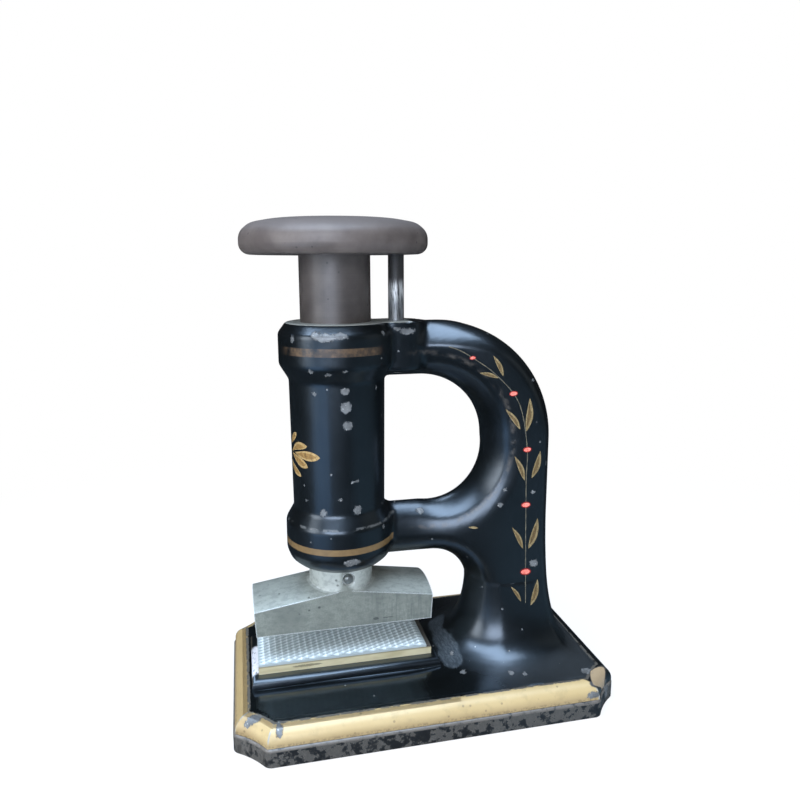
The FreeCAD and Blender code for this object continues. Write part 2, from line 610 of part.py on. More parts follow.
def crowned_ridge():
    """Two crowned slopes that meet over the plunger axis, filled down to the head's underside."""
    sides = []
    for side in (-1, 1):
        sections = []
        for along, height in ((0.0, HEAD_CREST), (side * HEAD_TOP_HALF_LENGTH, HEAD_ENDS_TOP)):
            front = from_axis(along, height, -HEAD_HALF_DEPTH)
            middle = from_axis(along, height + HEAD_CROWN, 0)
            back = from_axis(along, height, HEAD_HALF_DEPTH)
            low_front = Vector(front.x, front.y, UPPER_FACE)
            low_back = Vector(back.x, back.y, UPPER_FACE)
            sections.append(Part.Wire([Part.Arc(front, middle, back).toShape(), line(back, low_back),
                                       line(low_back, low_front), line(low_front, front)]))
        sides.append(Part.makeLoft(sections, True, True))
    return sides[0].fuse(sides[1])


def head_pin_line(reach):
    """Start and direction of the pin that crosses the neck."""
    angle = math.radians(HEAD_PIN_TURN)
    direction = Vector(-math.sin(angle), math.cos(angle), 0)
    return from_axis(0, HEAD_CREST + HEAD_PIN_ABOVE_CREST) - direction * reach, direction


def neck():
    """Neck that spreads at its root, trimmed flush with the head's front and back."""
    root = UPPER_FACE + UPPER_DIE_THICKNESS + OVERLAP
    flare = NECK_RADIUS + NECK_FLARE
    shape = turned([
        (0, root, 0),
        (flare, root, 0),
        (flare, HEAD_CREST - NECK_FLARE, 0),
        (NECK_RADIUS, HEAD_CREST, NECK_ROUND),
        (NECK_RADIUS, NECK_TOP, 0),
        (0, NECK_TOP, 0),
    ])
    return shape.common(slab(HEAD_HALF_LENGTH, HEAD_HALF_DEPTH, root, NECK_TOP))


def die_head():
    """Head with the neck that rises into the barrel and takes the plunger rod."""
    head = head_block().fuse(neck()).removeSplitter()
    head = head.cut(upper_die_pocket(FIXED))
    start, direction = head_pin_line(2 * NECK_RADIUS)
    cuts = [rod(ROD_RADIUS + FIXED, ROD_BOTTOM, NECK_TOP + OVERLAP),
            Part.makeCylinder(HEAD_PIN_RADIUS + FIXED, 4 * NECK_RADIUS, start, direction)]
    cuts += [countersunk_screw(along, FIXED) for along in screw_places()]
    return head.cut(cuts)


def head_cross_pin():
    """Pin through the neck and rod, with rounded ends just proud of the neck."""
    reach = NECK_RADIUS + HEAD_PIN_PROUD
    start, direction = head_pin_line(reach)
    pin = Part.makeCylinder(HEAD_PIN_RADIUS, 2 * reach, start, direction)
    ends = edges_where(pin, lambda edge, box: edge.isClosed() and edge.Curve.TypeId == "Part::GeomCircle")
    return pin.makeFillet(HEAD_PIN_ROUND, ends)


# ---- plunger ----------------------------------------------------------------------------------
def plunger_rod():
    """Steel rod that ties knob, stem and head together."""
    shaft = rod(ROD_RADIUS, ROD_BOTTOM, ROD_TOP)
    start, direction = head_pin_line(2 * NECK_RADIUS)
    return shaft.cut([Part.makeCylinder(HEAD_PIN_RADIUS + FIXED, 4 * NECK_RADIUS, start, direction),
                      stem_pin_bar(STEM_PIN_RADIUS + FIXED, 2 * STEM_RADIUS)])


def stem_pin_bar(radius, reach):
    height = STEM_BOTTOM + STEM_PIN_ABOVE_END
    return Part.makeCylinder(radius, 2 * reach, from_axis(-reach, height), ACROSS)


def plunger_stem():
    """Thick stem under the knob, running in the barrel's bore."""
    stem = ring(STEM_RADIUS, ROD_RADIUS + FIXED, STEM_BOTTOM, STEM_TOP)
    return stem.cut(stem_pin_bar(STEM_PIN_RADIUS + FIXED, 2 * STEM_RADIUS))


def stem_pin():
    return stem_pin_bar(STEM_PIN_RADIUS, STEM_RADIUS - STEM_PIN_BELOW_SURFACE)


def knob():
    """Mushroom knob: flat underside, full rounded rim and a low domed top."""
    wall_top = KNOB_BOTTOM + KNOB_WALL
    shoulder = wall_top + KNOB_SHOULDER_RISE
    crown = shoulder + KNOB_CROWN_RISE
    solid = turned([
        (0, KNOB_BOTTOM, 0),
        (KNOB_RADIUS, KNOB_BOTTOM, KNOB_RIM_ROUND),
        (KNOB_RADIUS, wall_top, KNOB_WALL_ROUND),
        (KNOB_RADIUS - KNOB_SHOULDER_INSET, shoulder, KNOB_SHOULDER_ROUND),
        (KNOB_RADIUS - KNOB_CROWN_INSET, crown, KNOB_CROWN_ROUND),
        (0, crown + KNOB_CAP_RISE, 0),
    ])
    below = KNOB_BOTTOM - OVERLAP
    return solid.cut([rod(STEM_RADIUS + FIXED, below, STEM_TOP),
                      rod(ROD_RADIUS + FIXED, below, ROD_TOP + FIXED),
                      rod(GUIDE_RADIUS + FIXED, below, KNOB_BOTTOM + GUIDE_IN_KNOB, GUIDE_OFFSET)])


def guide_rod():
    """Thin rod hung from the knob that keeps the head square by running in the boss."""
    shaft = rod(GUIDE_RADIUS, GUIDE_BOTTOM, KNOB_BOTTOM + GUIDE_IN_KNOB, GUIDE_OFFSET)
    tip = edges_where(shaft, lambda edge, box: is_flat_at(box, GUIDE_BOTTOM))
    return shaft.makeChamfer(GUIDE_TIP_CHAMFER, tip)


NODES = {
    "frame_casting": frame_casting,
    "die_bed": die_bed,
    "lower_die": lower_die,
    "lower_die_screws": lower_die_screws,
    "plunger_bush": plunger_bush,
    "bush_set_screw": bush_set_screw,
    "lower_spring_washer": lower_spring_washer,
    "return_spring": return_spring,
    "upper_spring_washer": upper_spring_washer,
    "plunger_stem": plunger_stem,
    "stem_pin": stem_pin,
    "plunger_rod": plunger_rod,
    "knob": knob,
    "guide_rod": guide_rod,
    "die_head": die_head,
    "head_cross_pin": head_cross_pin,
    "return_buffer": return_buffer,
    "upper_die": upper_die,
    "upper_die_screws": upper_die_screws,
}

os.makedirs("parts", exist_ok=True)
for name, build in NODES.items():
    shape = build()
    if not shape.isValid():
        raise RuntimeError(name + " is not a valid shape")
    shape.exportStep("parts/" + name + ".step")
    print("%-20s solids %d  volume %9.1f mm3" % (name, len(shape.Solids), shape.Volume))
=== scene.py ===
"""Looks of a desk check press: japanned casting, browned knob, bare iron head and waffle dies.

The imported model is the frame.  Sizes are millimetres in that frame, and meshes, lamps and the
camera are metres: +X runs along the base from the dies to the column, +Y away from the operator
and +Z up.
"""
from __future__ import annotations

import logging
import math
from contextlib import contextmanager
from dataclasses import dataclass, field
from enum import Enum
from functools import cached_property
from typing import Any, Callable, Iterator, Mapping, Optional, Sequence, Union

import bmesh
import bpy
import numpy as np
from mathutils import Matrix, Vector
from mathutils.bvhtree import BVHTree

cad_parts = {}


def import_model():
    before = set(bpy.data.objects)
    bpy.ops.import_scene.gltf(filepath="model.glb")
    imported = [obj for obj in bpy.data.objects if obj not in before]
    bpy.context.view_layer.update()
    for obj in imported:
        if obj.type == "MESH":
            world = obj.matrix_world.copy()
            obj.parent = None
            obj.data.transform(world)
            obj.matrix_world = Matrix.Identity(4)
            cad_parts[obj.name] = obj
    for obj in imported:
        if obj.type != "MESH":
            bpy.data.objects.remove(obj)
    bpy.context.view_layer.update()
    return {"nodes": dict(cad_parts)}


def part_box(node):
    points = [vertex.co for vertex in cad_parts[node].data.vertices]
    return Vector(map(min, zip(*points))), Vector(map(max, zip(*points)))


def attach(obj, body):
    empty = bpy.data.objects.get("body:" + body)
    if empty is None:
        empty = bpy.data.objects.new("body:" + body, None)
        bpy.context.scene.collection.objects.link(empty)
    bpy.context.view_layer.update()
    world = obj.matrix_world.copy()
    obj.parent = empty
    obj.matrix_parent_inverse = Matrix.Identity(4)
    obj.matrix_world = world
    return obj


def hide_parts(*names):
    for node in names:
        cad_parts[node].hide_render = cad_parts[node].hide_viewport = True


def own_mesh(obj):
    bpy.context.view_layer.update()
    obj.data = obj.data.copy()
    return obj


LOG = logging.getLogger("press")
MM = 0.001
MERGE = 0.002 * MM
SLIVER = 0.001 * MM
ON_PLANE = 0.0001 * MM
Spot = tuple[float, float]
Mark = tuple[float, float, float, float]


# ---- layout read from the frame ---------------------------------------------------------------
class Body(Enum):
    """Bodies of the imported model."""

    FRAME = "frame"
    PLUNGER = "plunger"


def corners(node: str) -> tuple[Vector, Vector]:
    """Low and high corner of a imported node's box, in millimetres."""
    low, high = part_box(node)
    return Vector(low) / MM, Vector(high) / MM


@dataclass(frozen=True)
class Layout:
    """Places that several pieces share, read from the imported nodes."""

    axis_x: float
    base_half_x: float
    base_half_y: float
    barrel_top: float
    stem_radius: float
    bush_radius: float
    guide_x: float
    bed_low: Vector
    bed_high: Vector
    die_low: Vector
    die_high: Vector
    upper_die_low: Vector
    head_low: Vector
    knob_high: Vector
    pin: Vector
    pin_reach: float

    @classmethod
    def from_frame(cls) -> "Layout":
        """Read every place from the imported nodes' boxes.

        Returns:
            The layout of this press.
        """
        rod_low, rod_high = corners("plunger_rod")
        guide_low, guide_high = corners("guide_rod")
        cast_high = corners("frame_casting")[1]
        pin_low, pin_high = corners("head_cross_pin")
        bed_low, bed_high = corners("die_bed")
        die_low, die_high = corners("lower_die")
        return cls(
            axis_x=(rod_low.x + rod_high.x) / 2,
            base_half_x=cast_high.x,
            base_half_y=cast_high.y,
            barrel_top=cast_high.z,
            stem_radius=corners("plunger_stem")[1].y,
            bush_radius=corners("plunger_bush")[1].y,
            guide_x=(guide_low.x + guide_high.x) / 2,
            bed_low=bed_low,
            bed_high=bed_high,
            die_low=die_low,
            die_high=die_high,
            upper_die_low=corners("upper_die")[0],
            head_low=corners("die_head")[0],
            knob_high=corners("knob")[1],
            pin=(pin_low + pin_high) / 2,
            pin_reach=(pin_high.y - pin_low.y) / 2,
        )


# ---- shader kit -------------------------------------------------------------------------------
Value = Union["Wire", float, int]


@dataclass(frozen=True)
class Tone:
    """A colour as it should look on screen, each part from 0 to 255."""

    red: float
    green: float
    blue: float

    def linear(self) -> tuple[float, float, float, float]:
        """The colour as linear light, with full alpha."""
        def one(part: float) -> float:
            """Linear light of one part."""
            share = part / 255
            return share / 12.92 if share <= 0.04045 else ((share + 0.055) / 1.055) ** 2.4

        return (one(self.red), one(self.green), one(self.blue), 1.0)


WHITE = Tone(255, 255, 255)


def binary(operation: str, swapped: bool = False) -> Callable[["Wire", Value], "Wire"]:
    """Method that joins a wire and another value by one Math node.

    Args:
        operation: Blender's name of the operation.
        swapped: Whether the other value comes first.

    Returns:
        The method.
    """
    def method(wire: "Wire", other: Value) -> "Wire":
        """The wire and the other value, joined."""
        pair = (other, wire) if swapped else (wire, other)
        return wire.shader.node("ShaderNodeMath", {"operation": operation}, pair)

    return method


class Wire:
    """A shader socket that takes part in Python arithmetic by adding Math nodes."""

    def __init__(self, shader: "Shader", socket: bpy.types.NodeSocket) -> None:
        """Hold the socket and the shader that it belongs to."""
        self.shader = shader
        self.socket = socket

    def other(self, name: str) -> "Wire":
        """Another output of the node that this socket belongs to."""
        return Wire(self.shader, self.socket.node.outputs[name])

    def __abs__(self) -> "Wire":
        """Absolute value."""
        return self.shader.node("ShaderNodeMath", {"operation": "ABSOLUTE"}, (self,))

    __add__ = __radd__ = binary("ADD")
    __mul__ = __rmul__ = binary("MULTIPLY")
    __sub__, __rsub__ = binary("SUBTRACT"), binary("SUBTRACT", swapped=True)
    __truediv__, __rtruediv__ = binary("DIVIDE"), binary("DIVIDE", swapped=True)
    __pow__ = binary("POWER")
    low_of, high_of = binary("MINIMUM"), binary("MAXIMUM")

    def above(self, level: float, soft: float) -> "Wire":
        """Mask that rises smoothly from 0 to 1 around a level.

        Args:
            level: Value at which the mask is a half.
            soft: Half of the width over which it rises.

        Returns:
            The mask.
        """
        sockets = {"Value": self, "From Min": level - soft, "From Max": level + soft}
        return self.shader.node("ShaderNodeMapRange", {"interpolation_type": "SMOOTHSTEP"}, sockets)

    def below(self, level: float, soft: float) -> "Wire":
        """Mask that falls smoothly from 1 to 0 around a level."""
        return 1 - self.above(level, soft)

    def within(self, low: float, high: float, soft: float) -> "Wire":
        """Mask that is 1 between two levels."""
        return self.above(low, soft) * self.below(high, soft)


class NodeTree:
    """A tree that nodes are added to."""

    def __init__(self, tree: bpy.types.NodeTree) -> None:
        """Hold the tree."""
        self.tree = tree

    def add(
        self, kind: str, settings: Optional[Mapping[str, Any]] = None,
        sockets: Union[Mapping[Any, Any], Sequence[Any]] = (),
    ) -> bpy.types.Node:
        """Add any node.

        Args:
            kind: Blender's name of the node type.
            settings: Properties, set before the sockets.
            sockets: Values, tones, wires or sockets, by input name or in order.

        Returns:
            The node.
        """
        made = self.tree.nodes.new(kind)
        for key, value in (settings or {}).items():
            setattr(made, key, value)
        pairs = sockets.items() if isinstance(sockets, Mapping) else enumerate(sockets)
        for key, value in pairs:
            self.join(made.inputs[key], value)
        return made

    def join(self, socket: bpy.types.NodeSocket, value: Any) -> None:
        """Link a wire or a socket to an input, or set the input's value."""
        if isinstance(value, Wire):
            value = value.socket
        if isinstance(value, bpy.types.NodeSocket):
            self.tree.links.new(value, socket)
        else:
            socket.default_value = value.linear() if isinstance(value, Tone) else value


class Shader(NodeTree):
    """Node tree of one material, with a Principled surface to fill in."""

    def __init__(self, name: str) -> None:
        """Start a material with coordinates in millimetres."""
        self.material = bpy.data.materials.new(name)
        self.material.use_nodes = True
        super().__init__(self.material.node_tree)
        self.surface = self.tree.nodes["Principled BSDF"]
        place = self.node("ShaderNodeTexCoord").other("Object")
        self.place = self.vector("SCALE", place, Scale=1 / MM)
        split = self.node("ShaderNodeSeparateXYZ", None, (self.place,))
        self.x, self.y, self.z = split, split.other("Y"), split.other("Z")

    def node(self, kind: str, *given: Any) -> Wire:
        """First output of a new node, given its settings and its sockets."""
        return Wire(self, self.add(kind, *given).outputs[0])

    def vector(self, operation: str, *values: Any, **named: Any) -> Wire:
        """Add one Vector Math node."""
        made = self.node("ShaderNodeVectorMath", {"operation": operation}, values)
        for name, value in named.items():
            self.join(made.socket.node.inputs[name], value)
        return made

    def noise(
        self, size: float, detail: float = 3.0, rough: float = 0.5, stretch: Sequence[float] = (1, 1, 1),
        shift: float = 0.0, at: Optional[Wire] = None,
    ) -> Wire:
        """Noise around a half.

        Args:
            size: Size of its features, in millimetres.
            detail: Octaves.
            rough: Share of the finer octaves.
            stretch: How many times longer the features are along each axis.
            shift: Offset that tells one noise from another.
            at: Where it is read, when that is not the object's own place.

        Returns:
            A value from 0 to 1.
        """
        scale = tuple(1 / (size * times) for times in stretch)
        warped = self.vector("MULTIPLY_ADD", at or self.place, scale, (shift, shift, shift))
        sockets = {"Vector": warped, "Scale": 1.0, "Detail": detail, "Roughness": rough}
        return self.node("ShaderNodeTexNoise", None, sockets)

    def specks(self, size: float, share: float, shift: float = 0.0) -> Wire:
        """Small round specks scattered at random.

        Args:
            size: Spacing of the cells, in millimetres.
            share: Radius of a speck as a share of the spacing.
            shift: Offset that tells one scatter from another.

        Returns:
            A mask.
        """
        warped = self.vector("MULTIPLY_ADD", self.place, (1 / size,) * 3, (shift,) * 3)
        cells = self.node("ShaderNodeTexVoronoi", None, {"Vector": warped, "Scale": 1.0})
        picked = self.node("ShaderNodeSeparateColor", None, (cells.other("Color"),))
        return cells.below(share, share * 0.4) * picked.above(0.72, 0.02)

    def ragged(self, size: float, reach: float, shift: float = 0.0) -> Wire:
        """The place, moved about at random so that the edge of a mask turns ragged."""
        random_way = self.noise(size, 6.0, 0.78, shift=shift).other("Color")
        start = self.vector("SUBTRACT", self.place, (reach / 2,) * 3)
        return self.vector("MULTIPLY_ADD", random_way, (reach,) * 3, start)

    def around(self, axis_x: float) -> Wire:
        """Turning coordinates: distance from an upright axis along X, height along Z."""
        across = self.x - axis_x
        radius = (across * across + self.y * self.y) ** 0.5
        return self.node("ShaderNodeCombineXYZ", None, (radius, 0.0, self.z))

    def edge(self, radius: float) -> Wire:
        """Mask of the sharp outer edges and corners, within about a radius in millimetres."""
        rounded = self.node("ShaderNodeBevel", {"samples": 6}, {"Radius": radius * MM})
        plain = self.node("ShaderNodeNewGeometry").other("Normal")
        return 1 - self.vector("DOT_PRODUCT", rounded, plain).other("Value")

    def spots(self, chips: Sequence["Chip"], at: Wire) -> Wire:
        """Mask of several oval patches.

        Args:
            chips: The patches.
            at: Place at which they are read.

        Returns:
            A mask that is 1 inside.
        """
        nearest: Optional[Wire] = None
        for chip in chips:
            scale = tuple(1 / size for size in chip.size)
            offset = tuple(-place / size for place, size in zip(chip.place, chip.size))
            moved = self.vector("MULTIPLY_ADD", at, scale, offset)
            distance = self.vector("LENGTH", moved).other("Value")
            nearest = distance if nearest is None else nearest.low_of(distance)
        return nearest.below(1.0, 0.12)

    def blend(self, share: Value, first: Any, second: Any) -> Wire:
        """Mix of two colours, each a tone or a wire."""
        made = self.add("ShaderNodeMix", {"data_type": "RGBA"})
        self.join(made.inputs["Factor"], share)
        colours = [socket for socket in made.inputs if socket.type == "RGBA"]
        self.join(colours[0], first)
        self.join(colours[1], second)
        return Wire(self, [socket for socket in made.outputs if socket.type == "RGBA"][0])

    def bump(self, height: Wire, depth: float, below: Optional[Wire] = None) -> Wire:
        """Bump from a height.

        Args:
            height: Height from 0 to 1.
            depth: Real depth that 1 stands for, in millimetres.
            below: Normal that this bump is laid over.

        Returns:
            The new normal.
        """
        sockets = {"Height": height, "Distance": depth * MM, "Strength": 1.0}
        if below is not None:
            sockets["Normal"] = below
        return self.node("ShaderNodeBump", None, sockets)

    def feed(self, **sockets: Any) -> None:
        """Feed the surface; an underscore in a name stands for a space."""
        for name, value in sockets.items():
            self.join(self.surface.inputs[name.replace("_", " ")], value)


def mix(share: Wire, first: Value, second: Value) -> Wire:
    """Number between two others by a mask."""
    return share * (second - first) + first


@dataclass(frozen=True)
class Chip:
    """A patch where the coat is gone: its middle and its three half sizes, in millimetres."""

    place: tuple[float, float, float]
    size: tuple[float, float, float]


class Coats:
    """Layers of a finish, laid one over the other."""

    def __init__(self, shader: Shader, tone: Any, roughness: Value, metallic: Value) -> None:
        """Start with the lowest layer."""
        self.shader = shader
        self.tone, self.roughness, self.metallic = tone, roughness, metallic

    def lay(self, mask: Wire, tone: Any, roughness: Value, metallic: Value) -> None:
        """Lay another layer where the mask is 1."""
        self.tone = self.shader.blend(mask, self.tone, tone)
        self.roughness = mix(mask, self.roughness, roughness)
        self.metallic = mix(mask, self.metallic, metallic)

    def feed(self, normal: Wire, **sockets: Any) -> None:
        """Feed the surface with the finished layers."""
        self.shader.feed(
            Base_Color=self.tone, Roughness=self.roughness, Metallic=self.metallic, Normal=normal, **sockets
        )


# ---- meshes -----------------------------------------------------------------------------------
def new_piece(name: str, mesh: bpy.types.Mesh, material: bpy.types.Material) -> bpy.types.Object:
    """Link a mesh as a piece with one material."""
    piece = bpy.data.objects.new(name, mesh)
    bpy.context.scene.collection.objects.link(piece)
    mesh.materials.clear()
    mesh.materials.append(material)
    return piece


@contextmanager
def shaping(mesh: bpy.types.Mesh, source: Optional[bpy.types.Mesh] = None) -> Iterator[bmesh.types.BMesh]:
    """Editable shape, read from a source where there is one, that is written to a mesh at the end."""
    shape = bmesh.new()
    if source is not None:
        shape.from_mesh(source)
    yield shape
    shape.to_mesh(mesh)
    shape.free()


def merged_copy(node: bpy.types.Object, name: str, material: bpy.types.Material) -> bpy.types.Object:
    """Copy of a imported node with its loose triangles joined, for smooth shading.

    Args:
        node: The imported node.
        name: Name of the new piece.
        material: Its finish.

    Returns:
        The new piece.
    """
    mesh = bpy.data.meshes.new(name)
    with shaping(mesh, node.data) as shape:
        bmesh.ops.remove_doubles(shape, verts=shape.verts, dist=MERGE)
        bmesh.ops.dissolve_degenerate(shape, edges=shape.edges, dist=SLIVER)
    return new_piece(name, mesh, material)


def cut_off(piece: bpy.types.Object, place: Vector, outward: Vector) -> None:
    """Cut a closed piece by a plane, drop the outward side and close the cut.

    Args:
        piece: The piece.
        place: A point on the plane, in millimetres.
        outward: Direction of the side that is dropped.
    """
    with shaping(piece.data, piece.data) as shape:
        parts = shape.verts[:] + shape.edges[:] + shape.faces[:]
        cut = bmesh.ops.bisect_plane(
            shape, geom=parts, dist=ON_PLANE, plane_co=place * MM, plane_no=outward, clear_outer=True
        )
        rim = [part for part in cut["geom_cut"] if isinstance(part, bmesh.types.BMEdge)]
        bmesh.ops.triangle_fill(shape, use_beauty=True, use_dissolve=False, edges=rim, normal=outward)


def turned(profile: Sequence[Spot], place: Vector, axis: str, steps: int) -> bpy.types.Mesh:
    """Closed turned shape.

    Args:
        profile: Radius and distance along the axis of each ring, in millimetres.
        place: Origin of the profile, in millimetres.
        axis: Z for an upright shape, Y for one that points away from the operator.
        steps: Sides of the turning.

    Returns:
        The mesh, in metres, with flat ends.
    """
    mesh = bpy.data.meshes.new("turned")
    with shaping(mesh) as shape:
        rings = []
        for radius, along in profile:
            ring = []
            for step in range(steps):
                angle = math.tau * step / steps
                across = Vector((math.cos(angle) * radius, math.sin(angle) * radius, along))
                if axis == "Y":
                    across = Vector((across.x, across.z, -across.y))
                ring.append(shape.verts.new((place + across) * MM))
            rings.append(ring)
        for lower, upper in zip(rings, rings[1:]):
            for step in range(steps):
                after = (step + 1) % steps
                shape.faces.new((lower[step], lower[after], upper[after], upper[step]))
        shape.faces.new(rings[0][::-1])
        shape.faces.new(rings[-1])
        bmesh.ops.recalc_face_normals(shape, faces=shape.faces)
    return mesh


def bore(piece: bpy.types.Object, cutters: Sequence[bpy.types.Mesh]) -> None:
    """Cut closed shapes out of a piece and join the slivers that the cuts leave."""
    for cutter in cutters:
        tool = bpy.data.objects.new("cutter", cutter)
        bpy.context.scene.collection.objects.link(tool)
        modifier = piece.modifiers.new("bore", "BOOLEAN")
        modifier.operation = "DIFFERENCE"
        modifier.solver = "EXACT"
        modifier.object = tool
        graph = bpy.context.evaluated_depsgraph_get()
        result = bpy.data.meshes.new_from_object(piece.evaluated_get(graph))
        piece.modifiers.remove(modifier)
        piece.data = result
        bpy.data.objects.remove(tool)
    with shaping(piece.data, piece.data) as shape:
        bmesh.ops.dissolve_degenerate(shape, edges=shape.edges, dist=SLIVER)


def tree_of(mesh: bpy.types.Mesh) -> BVHTree:
    """Search tree over a mesh's faces."""
    faces = [tuple(face.vertices) for face in mesh.polygons]
    return BVHTree.FromPolygons([vertex.co for vertex in mesh.vertices], faces)


def shade(piece: bpy.types.Object, degrees: float, weighted: bool = True) -> None:
    """Smooth shading with edges kept sharp above an angle."""
    piece.data.shade_smooth()
    piece.data.set_sharp_from_angle(angle=math.radians(degrees))
    if weighted:
        modifier = piece.modifiers.new("normals", "WEIGHTED_NORMAL")
        modifier.keep_sharp = True
        modifier.weight = 50


# ---- cast shapes ------------------------------------------------------------------------------
def round_union(first: np.ndarray, second: np.ndarray, radius: float) -> np.ndarray:
    """Union of two distance fields with a round fillet between them."""
    near = np.hypot(np.maximum(radius - first, 0), np.maximum(radius - second, 0))
    return np.maximum(np.minimum(first, second), radius) - near


def soft_union(first: np.ndarray, second: np.ndarray, reach: np.ndarray) -> np.ndarray:
    """Union of two distance fields with a long flare whose curve fades out at both ends."""
    near = np.maximum(reach - np.abs(first - second), 0) / reach
    return np.minimum(first, second) - near ** 3 * reach / 6


def round_cut(first: np.ndarray, second: np.ndarray, radius: float) -> np.ndarray:
    """Common part of two distance fields with a round edge between them."""
    return -round_union(-first, -second, radius)


def rounded_corner(across: np.ndarray, along: np.ndarray, radius: float) -> np.ndarray:
    """Distance to a quadrant with a rounded corner, measured from the corner arc's centre."""
    outside = np.hypot(np.maximum(across, 0), np.maximum(along, 0))
    return outside + np.minimum(np.maximum(across, along), 0) - radius


def eased(at: np.ndarray, points: Sequence[Spot]) -> np.ndarray:
    """Smooth curve through several points, level beyond both ends."""
    places, values = np.array(points).T
    slopes = np.gradient(values, places)
    slopes[[0, -1]] = 0.0
    index = np.clip(np.searchsorted(places, at) - 1, 0, len(places) - 2)
    gap = places[index + 1] - places[index]
    share = np.clip((at - places[index]) / gap, 0, 1)
    rise = share * share * (3 - 2 * share)
    start = share * (1 - share) ** 2 * slopes[index]
    end = share * share * (share - 1) * slopes[index + 1]
    return values[index] + rise * (values[index + 1] - values[index]) + gap * (start + end)


def oval_edge(
    inset: np.ndarray, depth: np.ndarray, half: np.ndarray, reach: Union[float, np.ndarray],
    turn: np.ndarray, power: float,
) -> np.ndarray:
    """Distance to a slab whose edge is a quarter oval on each side.

    Args:
        inset: Distance in from the slab's outline, positive inside.
        depth: Distance from the slab's middle plane.
        half: Half of the slab's thickness.
        reach: How far in from the outline the oval runs.
        turn: How much of the half thickness the oval takes.
        power: 2 for a true oval, less for one that is flatter between its ends.

    Returns:
        The approximate distance, negative inside.
    """
    side = np.maximum(1 - inset / reach, 0)
    face = np.maximum((depth - half) / turn + 1, 0)
    size = np.maximum(side ** power + face ** power, 1e-9) ** (1 / power)
    slope = np.hypot((side / size) ** (power - 1) / reach, (face / size) ** (power - 1) / turn)
    return (size - 1) / np.maximum(slope, 1 / np.maximum(turn, reach))


